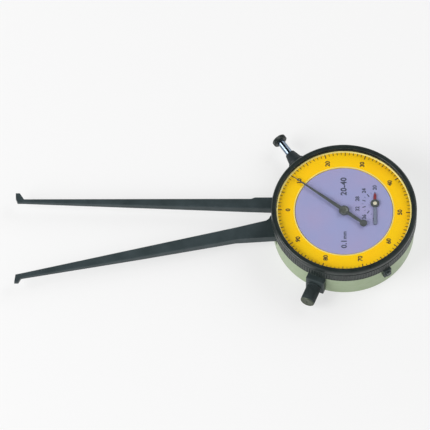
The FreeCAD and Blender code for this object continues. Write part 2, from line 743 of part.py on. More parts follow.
def make_moving_arm():
    """Lower arm with its hub and the lever that the button pushes, all one piece."""
    outline = [
        ("pivot_x", "shoulder_y"), ("shoulder_x + shoulder_flat", "shoulder_y"),
        ("shoulder_x + shoulder_slope", "shoulder_y - shoulder_drop"),
        ("shoulder_x", "moving_root_inner + shoulder_foot_rise"),
        ("shoulder_x - shoulder_foot_run", "moving_root_inner"),
        ("moving_bend_x", "moving_bend_inner"), ("moving_mid_x", "moving_mid_inner"),
        ("moving_tip_x", "moving_tip_inner"),
        ("arm_tip_reach + moving_hook_heel", "moving_tip_inner - moving_hook_heel"),
        ("arm_tip_reach", "moving_hook_reach"), ("arm_tip_reach + hook_width", "moving_hook_reach"),
        ("moving_tip_x", "moving_tip_outer"), ("moving_mid_x", "moving_mid_outer"),
        ("moving_bend_x", "moving_bend_outer"), ("-case_radius - arm_root_run", "moving_root_outer"),
        ("pivot_x", "moving_root_outer + moving_root_step")]
    body = arm_pads("MovingArm", outline, MOVING_BOTTOM, ARM_TOP)
    hub = disc("MovingHub", "hub_radius", MOVING_BOTTOM, ARM_TOP, *PIVOT)
    lever = doc.addObject("Part::Box", "MovingLever")
    bind(lever, Length="lever_length", Width="lever_face - lever_back", Height=f"{ARM_TOP} - {MOVING_BOTTOM}")
    place(lever, *at_pivot("0", "lever_back"), MOVING_BOTTOM, turn=LEVER_ANGLE)
    blank = fuse("MovingArmBlank", [body, hub, lever])
    tools = [hole("MovingBore", "pivot_pin_radius + running_gap", "arm_bottom", ARM_TOP, *PIVOT)]
    for index, (x, y) in enumerate(SECTOR_SCREWS):
        tools.append(disc(f"LeverThread{index}", "screw_shank_radius + static_gap",
                          f"{ARM_TOP} - sector_screw_length - thread_clearance",
                          f"{ARM_TOP} + cut_margin", x, y))
    keep(cut("MovingArm", blank, tools), "movable_arm")


def make_sector():
    """Toothed sector on the lever, with its two screws."""
    pivot = value_point(PIVOT)
    teeth = int(number("sector_teeth"))
    count = int(number("sector_tooth_count"))
    module = number(SECTOR_MODULE)
    step = 360 / teeth
    # the lowest tooth stands a tooth and a half below the line to the first arbor
    first_angle = number("first_direction") - 1.5 * step
    corners = tooth_points(pivot, teeth, module, WHEEL_TOOTH, first_angle, 0, count)
    top_angle = math.radians(first_angle + (count - 0.5) * step)
    low_angle = math.radians(first_angle - 0.5 * step)
    lever = math.radians(number(LEVER_ANGLE))
    rim = number("sector_radius - sector_rim")
    foot = [(rim, top_angle), (rim, low_angle)]
    foot[1:1] = [(number(f"sector_foot_{side}"), lever + math.radians(number(f"sector_foot_angle_{side}")))
                 for side in ("outer", "inner")]
    corners += [Vector(pivot[0] + r * math.cos(a), pivot[1] + r * math.sin(a)) for r, a in foot]
    plate = doc.addObject("Part::Feature", "SectorBlank")
    plate.Shape = prism(corners, number(SECTOR_BOTTOM), number("sector_thickness"))
    tools = []
    screws = []
    for index, (x, y) in enumerate(SECTOR_SCREWS):
        tools.append(hole(f"SectorBore{index}", "screw_shank_radius + static_gap", SECTOR_BOTTOM,
                          SECTOR_TOP, x, y))
        tools.append(disc(f"SectorSink{index}", "small_head_radius + static_gap",
                          f"{SECTOR_TOP} - screw_head_height", f"{SECTOR_TOP} + cut_margin", x, y))
        screws.append(slotted_screw(f"SectorScrew{index}", x, y, SECTOR_TOP,
                                    f"{ARM_TOP} - sector_screw_length",
                                    head="small_head_radius"))
    keep(cut("SectorGear", plate, tools), "sector_gear")
    keep(fuse("SectorScrews", screws), "sector_screws")


def make_pivot():
    """Pivot pin held by the web below and the movement plate above, with two washers."""
    keep(disc("PivotPin", "pivot_pin_radius", "web_bottom", PLATE_TOP, *PIVOT), "pivot_pin")
    rings = []
    for name, low, high in (("Lower", "web_top", f"{MOVING_BOTTOM} - running_gap"),
                            ("Upper", f"{ARM_TOP} + running_gap", "plate_bottom")):
        ring = disc(f"{name}Washer", "pivot_pin_radius + washer_width", low, high, *PIVOT)
        bore = hole(f"{name}WasherHole", "pivot_pin_radius + static_gap", low, high,
                    *PIVOT)
        rings.append(cut(f"{name}WasherCut", ring, [bore]))
    keep(rings[0], "pivot_washer")
    keep(rings[1], "pivot_spacer")


def make_button():
    """Push button with its stem, clip and threaded guide, built along local X and turned."""
    tip = taper("StemTip", "stem_tip_radius", "stem_nose_radius", "stem_tip_reach",
                "stem_tip_reach + stem_tip_length",
                "button_height")
    nose = rod("StemNose", "stem_nose_radius", "stem_tip_reach + stem_tip_length", "stem_nose_end",
               "button_height")
    shank = rod("StemShank", "stem_radius", "stem_nose_end", "stem_outer_end + button_socket_depth",
                "button_height")
    groove_end = "guide_spigot_start - stop_ring_gap"
    groove_start = f"{groove_end} - stop_ring_thickness"
    core = "stem_radius - stop_groove_depth"
    groove = cut("StemGroove", rod("StemGrooveOuter", "stem_radius + cut_margin", groove_start, groove_end,
                                   "button_height"),
                 [rod("StemGrooveCore", core, "guide_spigot_start - 2 * cut_margin",
                      "guide_spigot_start + cut_margin",
                      "button_height")])
    keep(place(cut("ButtonStem", fuse("StemBlank", [tip, nose, shank]), [groove]), turn="button_angle"),
         "button_stem")
    head = rod("HeadDisc", "button_head_radius", "stem_outer_end", "stem_outer_end + button_head_thickness",
               "button_height")
    doc.recompute()
    soft = doc.addObject("Part::Chamfer", "HeadSoft")
    soft.Base = head
    size = number("button_head_chamfer")
    soft.Edges = [(i, size, size) for i, e in enumerate(head.Shape.Edges, start=1)
                  if e.Curve.TypeId == "Part::GeomCircle"]
    socket = rod("HeadSocket", "stem_radius + static_gap", "stem_outer_end - cut_margin",
                 "stem_outer_end + button_socket_depth", "button_height")
    keep(place(cut("ButtonHead", soft, [socket]), turn="button_angle"), "button_head")
    ring = cut("StopRingBlank", rod("StopRingOuter", "stop_ring_radius", groove_start, groove_end,
                                    "button_height"),
               [rod("StopRingHole", f"{core} + static_gap", "guide_spigot_start - 2 * cut_margin",
                    "guide_spigot_start + cut_margin", "button_height"),
                block("StopRingMouth", ("guide_spigot_start - 2 * cut_margin",
                                        "guide_spigot_start + cut_margin"),
                      ("-stop_ring_mouth / 2", "stop_ring_mouth / 2"),
                      ("button_height", "button_height + stop_ring_radius + cut_margin"))])
    keep(place(ring, turn="button_angle"), "button_stop_ring")
    spigot = rod("GuideSpigot", "guide_spigot_radius", "guide_spigot_start", "case_radius + guide_overlap",
                 "button_height")
    flange = rod("GuideFlange", "guide_flange_radius", "case_radius - guide_overlap", "guide_flange_end",
                 "button_height")
    cone = taper("GuideCone", "guide_cone_radius", "guide_end_radius", "guide_flange_end", "guide_end",
                 "button_height")
    trimmed = cut("GuideFlangeSeat", flange, [disc("GuideSeatDrum", "case_radius", "0", "bezel_bottom")])
    bore = cross_hole("GuideBore", "stem_radius + running_gap", "guide_spigot_start", "guide_end",
                      "button_height")
    keep(place(cut("ButtonGuide", fuse("GuideBlank", [spigot, trimmed, cone]), [bore]), turn="button_angle"),
         "button_guide")


def make_finger_post():
    """Knurled finger post on a block that is hollowed to seat on the drum."""
    base = block("PostBaseBlank", ("case_radius - cut_margin", "post_start"),
                 ("-post_base_width / 2", "post_base_width / 2"), ("post_base_bottom", "post_base_top"))
    keep(place(cut("PostBase", base, [disc("PostSeatDrum", "case_radius", "0", "bezel_bottom"),
                                      rod("PostBaseBore", "post_stud_radius + static_gap",
                                          "case_radius - 2 * cut_margin",
                                          "post_start + cut_margin", "post_height")]),
               turn="post_angle"), "finger_post_base")
    stud = rod("PostStud", "post_stud_radius", f"{CASE_INNER} + thread_clearance", "post_start",
               "post_height")
    grip = rod("PostGrip", "post_radius", "post_start", "post_end", "post_height")
    doc.recompute()
    soft = doc.addObject("Part::Chamfer", "PostSoft")
    soft.Base = grip
    size = number("post_chamfer")
    soft.Edges = [(i, size, size) for i, e in enumerate(grip.Shape.Edges, start=1)
                  if e.Curve.TypeId == "Part::GeomCircle"]
    keep(place(fuse("FingerPost", [stud, soft]), turn="post_angle"), "finger_post")


def make_clamp():
    """Tab on the side of the case that clamps the bezel, with its screw."""
    tab = block("ClampBlank", ("case_radius - cut_margin", "clamp_outer"),
                ("-clamp_width / 2", "clamp_width / 2"),
                ("clamp_bottom", "clamp_top"))
    keep(place(cut("ClampTab", tab, [disc("ClampSeatDrum", "case_radius", "0", "bezel_bottom"),
                                     rod("ClampBore", "clamp_shank_radius + running_gap",
                                         "case_radius - 2 * cut_margin",
                                         "clamp_outer + cut_margin", "clamp_screw_height")]),
               turn="clamp_angle"), "bezel_clamp_tab")
    head = rod("ClampHead", "clamp_head_radius", "clamp_outer + running_gap",
               "clamp_outer + clamp_head_thickness", "clamp_screw_height")
    shank = rod("ClampShank", "clamp_shank_radius", f"{CASE_INNER} + thread_clearance",
                "clamp_outer + running_gap",
                "clamp_screw_height")
    face = "clamp_outer + clamp_head_thickness"
    slot = block("ClampSlot", (f"{face} - screw_slot_depth", f"{face} + cut_margin"),
                 ("-clamp_head_radius - cut_margin", "clamp_head_radius + cut_margin"),
                 ("clamp_screw_height - screw_slot_width / 2", "clamp_screw_height + screw_slot_width / 2"))
    keep(place(cut("ClampScrew", fuse("ClampScrewBlank", [head, shank]), [slot]), turn="clamp_angle"),
         "bezel_clamp_screw")


def make_bezel():
    """Bezel that turns on the neck, its wire ring, the scale and the crystal."""
    body = doc.addObject("PartDesign::Body", "BezelBody")
    inner = "neck_radius + running_gap"
    groove = "neck_radius + snap_ring_wire / 2 + float_gap"
    crystal_top = "crystal_bottom + crystal_thickness"
    deep = "scale_bore + crystal_lip"
    revolve(body, "BezelTurned", [
        (inner, "bezel_bottom"), ("bezel_radius - bezel_chamfer / 2", "bezel_bottom"),
        ("bezel_radius", "bezel_bottom + bezel_chamfer / 2"),
        ("bezel_radius", "bezel_groove_height - bezel_groove_size"),
        ("bezel_radius - bezel_groove_size", "bezel_groove_height"),
        ("bezel_radius", "bezel_groove_height + bezel_groove_size"),
        ("bezel_radius", "bezel_top - bezel_chamfer"), ("bezel_radius - bezel_chamfer", "bezel_top"),
        ("scale_bore + bezel_chamfer / 2", "bezel_top"), ("scale_bore", "bezel_top - bezel_chamfer / 2"),
        ("scale_bore", crystal_top), (deep, crystal_top), (deep, "crystal_bottom"),
        ("scale_bore", "crystal_bottom"), ("scale_bore", "ledge_top"),
        ("ledge_radius", "ledge_top"), ("ledge_radius", "ledge_bottom"),
        (inner, "ledge_bottom"), (inner, "snap_ring_height + snap_ring_wire / 2 + groove_play"),
        (groove, "snap_ring_height + snap_ring_wire / 2 + groove_play"),
        (groove, "snap_ring_height - snap_ring_wire / 2 - groove_play"),
        (inner, "snap_ring_height - snap_ring_wire / 2 - groove_play")])
    keep(body, "bezel_ring")
    ring = cut("SnapRingBlank", disc("SnapOuter", "neck_radius + snap_ring_wire / 2",
                                     "snap_ring_height - snap_ring_wire / 2 + 2 * static_gap",
                                     "snap_ring_height + snap_ring_wire / 2 - 2 * static_gap"),
               [hole("SnapInner", "neck_radius - snap_ring_wire / 2 + static_gap", "snap_ring_height",
                     "snap_ring_height"),
                block("SnapMouth", ("0", "neck_radius + snap_ring_wire"),
                      ("-snap_ring_mouth / 2", "snap_ring_mouth / 2"),
                      ("snap_ring_height - snap_ring_wire", "snap_ring_height + snap_ring_wire"))])
    keep(ring, "bezel_snap_ring")
    scale = cut("ScaleRing", disc("ScaleOuter", "scale_bore - static_gap", "ledge_top",
                                  "ledge_top + scale_thickness"),
                [hole("ScaleInner", "scale_inner", "ledge_top", "ledge_top + scale_thickness")])
    keep(scale, "scale_ring")
    keep(disc("Crystal", f"{deep} - static_gap", "crystal_bottom", crystal_top), "crystal")


def make_plates():
    """Movement plate and bridge on pillars, with the screws that hold them."""
    arbors = (("Second", SECOND), ("Centre", CENTRE), ("Counter", COUNTER), ("Hair", HAIR), ("First", FIRST))
    shaft_hole = "shaft_radius + running_gap"
    tools = [hole(f"Plate{name}Hole", shaft_hole, "plate_bottom", PLATE_TOP, *where)
             for name, where in arbors]
    tools.append(hole("PlatePivotHole", "pivot_pin_radius + static_gap", "plate_bottom", PLATE_TOP, *PIVOT))
    for side in "abc":
        tools.append(hole(f"PlateWindow{side}", "plate_window_radius", "plate_bottom", PLATE_TOP,
                          *around("plate_window_circle", f"plate_window_angle_{side}")))
    for index, angle in enumerate(PILLARS):
        tools.append(hole(f"PlateScrewHole{index}", "screw_shank_radius + static_gap", "plate_bottom",
                          PLATE_TOP, *around("pillar_circle", angle)))
    keep(cut("MovementPlate", disc("PlateBlank", "plate_radius", "plate_bottom", PLATE_TOP), tools),
         "movement_plate")

    tools = [hole(f"Bridge{name}Hole", shaft_hole, "bridge_bottom", BRIDGE_TOP, *where)
             for name, where in arbors]
    for side in "abc":
        tools.append(hole(f"BridgeWindow{side}", "bridge_window_radius", "bridge_bottom", BRIDGE_TOP,
                          *around("bridge_window_circle", f"bridge_window_angle_{side}")))
    screws = []
    for index, angle in enumerate(PILLARS):
        x, y = around("pillar_circle", angle)
        tools.append(hole(f"BridgeScrewHole{index}", "screw_shank_radius + static_gap", "bridge_bottom",
                          BRIDGE_TOP, x, y))
        tools.append(disc(f"BridgeSink{index}", "screw_head_radius + static_gap",
                          f"{BRIDGE_TOP} - screw_head_height / 2", f"{BRIDGE_TOP} + cut_margin", x, y))
        screws.append(slotted_screw(f"BridgeScrew{index}", x, y, f"({BRIDGE_TOP} + screw_head_height / 2)",
                                    f"{BRIDGE_TOP} - bridge_screw_length"))
    for index in range(3):
        x, y = around("dial_foot_circle", f"(dial_foot_angle + {120 * index})")
        tools.append(hole(f"FootHole{index}", "dial_pin_radius + static_gap", "bridge_bottom", BRIDGE_TOP,
                          x, y))
    keep(cut("MovementBridge", disc("BridgeBlank", "plate_radius", "bridge_bottom", BRIDGE_TOP), tools),
         "movement_bridge")
    keep(fuse("BridgeScrews", screws), "bridge_screws")

    lower = []
    upper = []
    for index, angle in enumerate(PILLARS):
        x, y = around("pillar_circle", angle)
        post = fuse(f"LowerPillarBlank{index}", [
            disc(f"LowerPillarPost{index}", "pillar_radius", "web_top", "plate_bottom", x, y),
            disc(f"LowerPillarTenon{index}", "pillar_tenon_radius", "web_bottom", "web_top", x, y)])
        lower.append(cut(f"LowerPillar{index}", post, [
            disc(f"LowerPillarThread{index}", "screw_shank_radius + static_gap",
                 "plate_bottom - pillar_stud_length - thread_clearance", "plate_bottom + cut_margin", x, y)]))
        stud = fuse(f"UpperPillarBlank{index}", [
            disc(f"UpperPillarPost{index}", "pillar_radius", PLATE_TOP, "bridge_bottom", x, y),
            disc(f"UpperPillarStud{index}", "screw_shank_radius", "plate_bottom - pillar_stud_length",
                 PLATE_TOP, x, y)])
        upper.append(cut(f"UpperPillar{index}", stud, [
            disc(f"UpperPillarThread{index}", "screw_shank_radius + static_gap",
                 f"{BRIDGE_TOP} - bridge_screw_length - thread_clearance",
                 "bridge_bottom + cut_margin", x, y)]))
    keep(fuse("LowerPillars", lower), "plate_pillars")
    keep(fuse("UpperPillars", upper), "bridge_pillars")


def make_dial():
    """Fixed dial plate on three riveted feet."""
    feet = []
    for index in range(3):
        x, y = around("dial_foot_circle", f"(dial_foot_angle + {120 * index})")
        feet.append(disc(f"DialFoot{index}", "dial_foot_radius", BRIDGE_TOP, "dial_bottom", x, y))
        feet.append(disc(f"DialPin{index}", "dial_pin_radius", "bridge_bottom + thread_clearance",
                         BRIDGE_TOP, x, y))
    top = "dial_bottom + dial_thickness"
    blank = fuse("DialBlank", [disc("DialDisc", "dial_radius", "dial_bottom", top)] + feet)
    holes = [hole(f"Dial{name}Hole", "dial_hole_radius", "dial_bottom", top, *where)
             for name, where in (("Centre", CENTRE), ("Counter", COUNTER))]
    keep(cut("DialPlate", blank, holes), "dial_plate")


def make_train():
    """Arbors with their pinions and the wheels pressed on them, in mesh at rest."""
    pivot, first, second, centre, counter, hair = [
        value_point(point) for point in (PIVOT, FIRST, SECOND, CENTRE, COUNTER, HAIR)]
    pinion = int(number("pinion_teeth"))
    train = number("train_module")
    thick = number("wheel_thickness")
    extra = number("pinion_overlap")
    bore = number("shaft_radius + static_gap")
    sector_teeth = int(number("sector_teeth"))
    sector_angle = number("first_direction") - 1.5 * 360 / sector_teeth
    first_angle = mesh_angle(pivot, sector_teeth, sector_angle, first, pinion)

    def arbor(label, where, bottom, top, pinions):
        shaft = disc(f"{label}Shaft", "shaft_radius", bottom, top, *where)
        toothed = []
        for index, (module, angle, low, height) in enumerate(pinions):
            toothed.append(gear(f"{label}Pinion{index}", value_point(where), pinion, module, PINION_TOOTH,
                                angle, low, height))
        return fuse(f"{label}Arbor", [shaft] + toothed) if toothed else shaft

    low = number("first_wheel_bottom")
    teeth = int(number("first_wheel_teeth"))
    keep(arbor("First", FIRST, "web_bottom + shaft_end_gap", "shaft_top",
               [(number(SECTOR_MODULE), first_angle, number(SECTOR_BOTTOM) - extra,
                 number("sector_thickness") + 2 * extra)]), "first_arbor")
    keep(gear("FirstWheel", first, teeth, train, WHEEL_TOOTH, first_angle, low, thick, bore), "first_wheel")

    second_angle = mesh_angle(first, teeth, first_angle, second, pinion)
    keep(arbor("Second", SECOND, "shaft_bottom", "shaft_top",
               [(train, second_angle, low - extra, thick + 2 * extra)]), "second_arbor")
    low = number("second_wheel_bottom")
    teeth = int(number("second_wheel_teeth"))
    keep(gear("SecondWheel", second, teeth, train, WHEEL_TOOTH, second_angle, low, thick, bore),
         "second_wheel")

    centre_angle = mesh_angle(second, teeth, second_angle, centre, pinion)
    counter_low = number("counter_wheel_bottom")
    counter_module = number(COUNTER_MODULE)
    keep(arbor("Centre", CENTRE, "shaft_bottom", "pointer_bottom",
               [(train, centre_angle, low - extra, thick + 2 * extra),
                (counter_module, centre_angle, counter_low - extra, thick + 2 * extra)]), "centre_arbor")

    teeth = int(number("counter_teeth"))
    counter_angle = mesh_angle(centre, pinion, centre_angle, counter, teeth)
    keep(arbor("Counter", COUNTER, "shaft_bottom", "small_pointer_bottom", []), "counter_arbor")
    keep(gear("CounterWheel", counter, teeth, counter_module, WHEEL_TOOTH, counter_angle, counter_low, thick,
              bore), "counter_wheel")

    teeth = int(number("hair_wheel_teeth"))
    hair_angle = mesh_angle(centre, pinion, centre_angle, hair, teeth)
    keep(arbor("Hair", HAIR, "shaft_bottom", "shaft_top", []), "hairspring_arbor")
    keep(gear("HairWheel", hair, teeth, train, WHEEL_TOOTH, hair_angle, low, thick, bore), "hairspring_wheel")


def make_hairspring():
    """Flat spiral of half circles on the take-up wheel's arbor, with the block that holds its outer end."""
    x, y = value_point(HAIR)
    pitch = number("hairspring_pitch")
    strip = number("hairspring_strip")
    radius = number("shaft_radius + hairspring_start")
    bottom = number("first_wheel_bottom")
    height = number("wheel_thickness")
    outer = []
    inner = []
    centre_x = x
    side = 1
    for turn in range(int(number("hairspring_turns")) * 2):
        for edges, offset in ((outer, strip / 2), (inner, -strip / 2)):
            r = radius + offset
            arc = Part.Arc(Vector(centre_x + side * r, y, bottom), Vector(centre_x, y + side * r, bottom),
                           Vector(centre_x - side * r, y, bottom))
            edges.append(arc.toShape())
        radius += pitch / 2
        centre_x += side * pitch / 2
        side = -side
    ends = [Part.makeLine(inner[0].Vertexes[0].Point, outer[0].Vertexes[0].Point),
            Part.makeLine(inner[-1].Vertexes[-1].Point, outer[-1].Vertexes[-1].Point)]
    wire = Part.Wire(Part.__sortEdges__(outer + inner + ends))
    spiral = Part.Face(wire).extrude(Vector(0, 0, height))
    collet = Part.makeCylinder(number("shaft_radius + collet_wall"), height, Vector(x, y, bottom))
    collet = collet.cut(Part.makeCylinder(number("shaft_radius + static_gap"), height, Vector(x, y, bottom)))
    spring = doc.addObject("Part::Feature", "Hairspring")
    spring.Shape = spiral.fuse(collet)
    keep(spring, "hairspring")
    end = outer[-1].Vertexes[-1].Point
    stud = doc.addObject("Part::Feature", "HairspringStud")
    low = number(PLATE_TOP)
    width = number("stud_width")
    corner = Vector(end.x + number("stud_gap"), y - width / 2, low)
    stud.Shape = Part.makeBox(number("stud_length"), width, bottom + height + number("stud_rise") - low,
                              corner)
    keep(stud, "hairspring_stud")


def make_pointers():
    """Main pointer with its counterweight and the small turn-counting pointer."""
    half = "pointer_width / 2"
    blade = doc.addObject("PartDesign::Body", "PointerBlade")
    pad(blade, "PointerBladePad", [
        ("-pointer_tail", "-pointer_tail_width / 2"), ("0", f"-{half}"),
        ("pointer_length * pointer_neck_share",
         "-pointer_neck_width / 2"), ("pointer_length", "-pointer_tip_width / 2"),
        ("pointer_length", "pointer_tip_width / 2"), ("pointer_length * pointer_neck_share",
                                                      "pointer_neck_width / 2"),
        ("0", half), ("-pointer_tail", "pointer_tail_width / 2")], "pointer_bottom", "pointer_thickness")
    top = "pointer_bottom + pointer_thickness"
    blob = disc("PointerBlob", "pointer_blob_radius", "pointer_bottom", top, "-pointer_tail", "0")
    hub = disc("PointerHub", "pointer_hub_radius", "pointer_bottom - pointer_hub_drop",
               f"{top} + pointer_hub_rise")
    bore = disc("PointerBore", "shaft_radius + static_gap", "pointer_bottom - cut_margin", "pointer_bottom")
    keep(place(cut("MainPointer", fuse("PointerBlank", [blade, blob, hub]), [bore]), turn="pointer_angle"),
         "main_pointer")

    half = "small_pointer_width / 2"
    blade = doc.addObject("PartDesign::Body", "SmallPointerBlade")
    pad(blade, "SmallPointerBladePad", [
        (f"-{half}", "-small_pointer_length"), (half, "-small_pointer_length"), (half, "0"),
        ("small_tail_width / 2", "small_pointer_tail"), ("-small_tail_width / 2", "small_pointer_tail"),
        (f"-{half}", "0")],
        "small_pointer_bottom", "small_pointer_thickness")
    top = "small_pointer_bottom + small_pointer_thickness"
    hub = disc("SmallHub", "small_hub_radius", "small_pointer_bottom - small_hub_drop",
               f"{top} + small_hub_rise")
    bore = disc("SmallBore", "shaft_radius + static_gap", "small_pointer_bottom - cut_margin",
                "small_pointer_bottom")
    keep(place(cut("SmallPointer", fuse("SmallPointerBlank", [blade, hub]), [bore]), *COUNTER),
         "small_pointer")


def make_return_spring():
    """Leaf spring that bears on the lever, in a slotted post on the web."""
    tip = at_pivot("spring_contact", "lever_back - spring_gap")
    back = at_pivot("spring_contact", "lever_back - spring_gap - spring_strip")
    bend = ("spring_post_x + spring_bend_x", "spring_post_y + spring_bend_y")
    body = doc.addObject("PartDesign::Body", "LeafBody")
    pad(body, "LeafPad", [
        ("spring_post_x - spring_strip / 2", "spring_post_y"), bend, tip, back,
        (f"{bend[0]} + spring_strip", bend[1]), ("spring_post_x + spring_strip / 2", "spring_post_y")],
        "spring_bottom", "spring_width")
    keep(body, "return_spring")
    post = fuse("SpringPostBlank", [
        disc("SpringPostHead", "spring_post_radius", "web_top",
             "spring_bottom + spring_width + spring_post_rise",
             "spring_post_x", "spring_post_y"),
        disc("SpringPostTenon", "screw_shank_radius", "web_bottom", "web_top", "spring_post_x",
             "spring_post_y")])
    slot = doc.addObject("Part::Box", "SpringPostSlot")
    bind(slot, Length="3 * spring_post_radius", Width="spring_strip + 2 * spring_gap",
         Height="spring_width + 2 * cut_margin")
    turn = "atan2(spring_bend_y, spring_bend_x)"
    aside = "(spring_strip / 2 + spring_gap)"
    place(slot, f"spring_post_x + {aside} * sin({turn}) - spring_slot_margin * cos({turn})",
          f"spring_post_y - {aside} * cos({turn}) - spring_slot_margin * sin({turn})",
          "spring_bottom - spring_seat_gap", turn=turn)
    keep(cut("SpringPost", post, [slot]), "spring_post")


make_case()
make_back_cover()
make_fixed_arm()
make_moving_arm()
make_sector()
make_pivot()
make_button()
make_finger_post()
make_clamp()
make_bezel()
make_plates()
make_dial()
make_train()
make_hairspring()
make_pointers()
make_return_spring()
doc.recompute()

for thing in doc.Objects:
    if "Invalid" in thing.State or "Error" in thing.State:
        raise RuntimeError(f"{thing.Name} ({thing.Label}) failed: {thing.State}")
for thing in PARTS:
    if thing.Shape.isNull() or not thing.Shape.isValid():
        raise RuntimeError(f"{thing.Label} has no sound shape")

os.makedirs("parts", exist_ok=True)
for thing in PARTS:
    thing.Shape.exportStep(f"parts/{thing.Label}.step")
    print(f"{thing.Label:22s} solids {len(thing.Shape.Solids)}  volume {thing.Shape.Volume:10.2f}")
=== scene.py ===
"""Looks of the inside dial caliper gauge: materials, dial print, fine relief, light and camera."""
import json
import math

import bmesh
import bpy
from mathutils import Matrix, Vector


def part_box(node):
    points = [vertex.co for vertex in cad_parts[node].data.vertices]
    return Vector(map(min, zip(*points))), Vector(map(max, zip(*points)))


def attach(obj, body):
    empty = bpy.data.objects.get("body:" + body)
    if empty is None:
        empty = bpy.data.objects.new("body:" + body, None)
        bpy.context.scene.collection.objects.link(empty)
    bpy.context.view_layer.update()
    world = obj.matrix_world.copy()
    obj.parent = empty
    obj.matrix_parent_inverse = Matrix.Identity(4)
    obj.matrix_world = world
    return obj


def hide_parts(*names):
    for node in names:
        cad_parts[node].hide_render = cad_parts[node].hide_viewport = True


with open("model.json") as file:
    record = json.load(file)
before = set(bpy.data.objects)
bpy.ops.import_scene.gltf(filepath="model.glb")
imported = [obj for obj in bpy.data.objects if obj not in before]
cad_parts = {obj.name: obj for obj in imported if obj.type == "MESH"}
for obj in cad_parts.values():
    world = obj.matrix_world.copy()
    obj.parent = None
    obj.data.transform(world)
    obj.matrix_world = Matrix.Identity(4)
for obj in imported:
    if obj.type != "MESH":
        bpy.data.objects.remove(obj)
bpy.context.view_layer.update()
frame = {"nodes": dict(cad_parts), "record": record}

# Sizes are in mm and angles in degrees, unless a comment says otherwise
MM = 0.001

# Places and levels read from the frame, in metres
BEZEL_LOW, BEZEL_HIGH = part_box("bezel_ring")
SCALE_LOW, SCALE_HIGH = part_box("scale_ring")
DIAL_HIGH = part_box("dial_plate")[1]
CRYSTAL_LOW, CRYSTAL_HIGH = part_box("crystal")
COUNTER_LOW, COUNTER_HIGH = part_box("counter_wheel")
COUNTER = (COUNTER_LOW + COUNTER_HIGH) / 2
BEZEL_RADIUS = BEZEL_HIGH.x
SCALE_RADIUS = SCALE_HIGH.x
SCALE_TOP = SCALE_HIGH.z
DIAL_TOP = DIAL_HIGH.z

# Turned pieces
BEZEL_SEGMENTS = 960
BEZEL_RIDGES = 160
BEZEL_WALL = 2.45
RIDGES = 48
BUTTON_ANGLE = 124.5
BUTTON_HEIGHT = 6.5
BUTTON_START = 44.0
BUTTON_LENGTH = 2.0
BUTTON_RADIUS = 2.9
STEM_RADIUS = 1.47
POST_ANGLE = 247.3
POST_HEIGHT = 5.6
POST_START = 30.7
POST_END = 38.5
POST_RADIUS = 2.9
NECK_START = 26.2
NECK_RADIUS = 1.2

# Dial print
SCALE_STEPS = 100
SCALE_WIDTH = 7.4
ZERO_ANGLE = 178.6
TICK_END = 26.65
TICK_STARTS = {0: 24.8, 5: 25.0}
TICK_WIDTHS = {0: 0.42, 5: 0.34}
SHORT_TICK_START = 25.3
SHORT_TICK_WIDTH = 0.26
FIGURE_RADIUS = 22.3
FIGURE_SIZE = 1.8
COUNTER_STEPS = 6
COUNTER_STEP_ANGLE = 36
COUNTER_START_ANGLE = 90
COUNTER_TICK_START = 3.9
COUNTER_TICK_WIDTH = 0.42
COUNTER_HALF_START = 4.6
COUNTER_HALF_WIDTH = 0.16
COUNTER_TICK_END = 5.3
COUNTER_FIRST_NUMBER = 20
COUNTER_NUMBER_STEP = 4
COUNTER_FIGURE_RADIUS = 7.3
COUNTER_FIGURE_SIZE = 1.6
WORD_SPACING = 1.08
PRINT_HEIGHT = 0.012
FIGURE_LIFT = 0.008
FIGURE_HALF_HEIGHT = 0.006
FIGURE_SCALE = 1.35
STROKE_SHARE = 0.05
RIM_LIFT = 0.004

# Small pointer's paint
SMALL_HUB_RISE = 0.15
PAINT_START = 1.7
PAINT_HEIGHT = 0.06

# Shading and edge breaking
SHARP_ANGLE = 35
BROKEN_EDGE_ANGLE = 38
SOFT_SHARP_ANGLE = 24
FLAT_ANGLE = 1
WELD = 0.0005
WIDTHS_TO_BREAK = 3

# Studio, in metres, watts and degrees
FLOOR_SIZE = 6
FLOOR_DROP = 0.00002
FLOOR_GLOW = 0.68
WORLD_STRENGTH = 0.9
FLAG_DIRECTION = (-0.45, 0.12, 0.88)
FLAG_EDGE = 52
FLAG_CORE = 42
FLAG_DARK = 0.02
LAMP_SIZE = 0.8
LAMP_TARGET = (-0.02, 0, 0)
LAMPS = (("key", (-0.95, -0.4, 0.66), 15.4), ("fill", (0.7, 0.6, 0.8), 6.0))

# Camera; its distance is in metres, and a pixel of the photograph shows 0.4 mm
ELEVATION = 62
CAMERA_DISTANCE = 4.0
CAMERA_TARGET = (-51.4, 6.8, 0)
SENSOR_WIDTH = 36
PIXELS = 430
PIXEL = 0.4


def srgb(red, green, blue):
    """Linear colour of an 8-bit screen colour."""
    shares = (red / 255, green / 255, blue / 255)
    return [((c + 0.055) / 1.055) ** 2.4 if c > 0.04 else c / 12.92 for c in shares] + [1]


PALE = srgb(243, 243, 243)


# Materials

# Usual span of a noise, and the sockets of a colour mix
NOISE_LOW, NOISE_HIGH = 0.3, 0.7
NOISE_ROUGHNESS = 0.55
MIX_FACTOR, MIX_FIRST, MIX_SECOND, MIX_RESULT = 0, 6, 7, 2

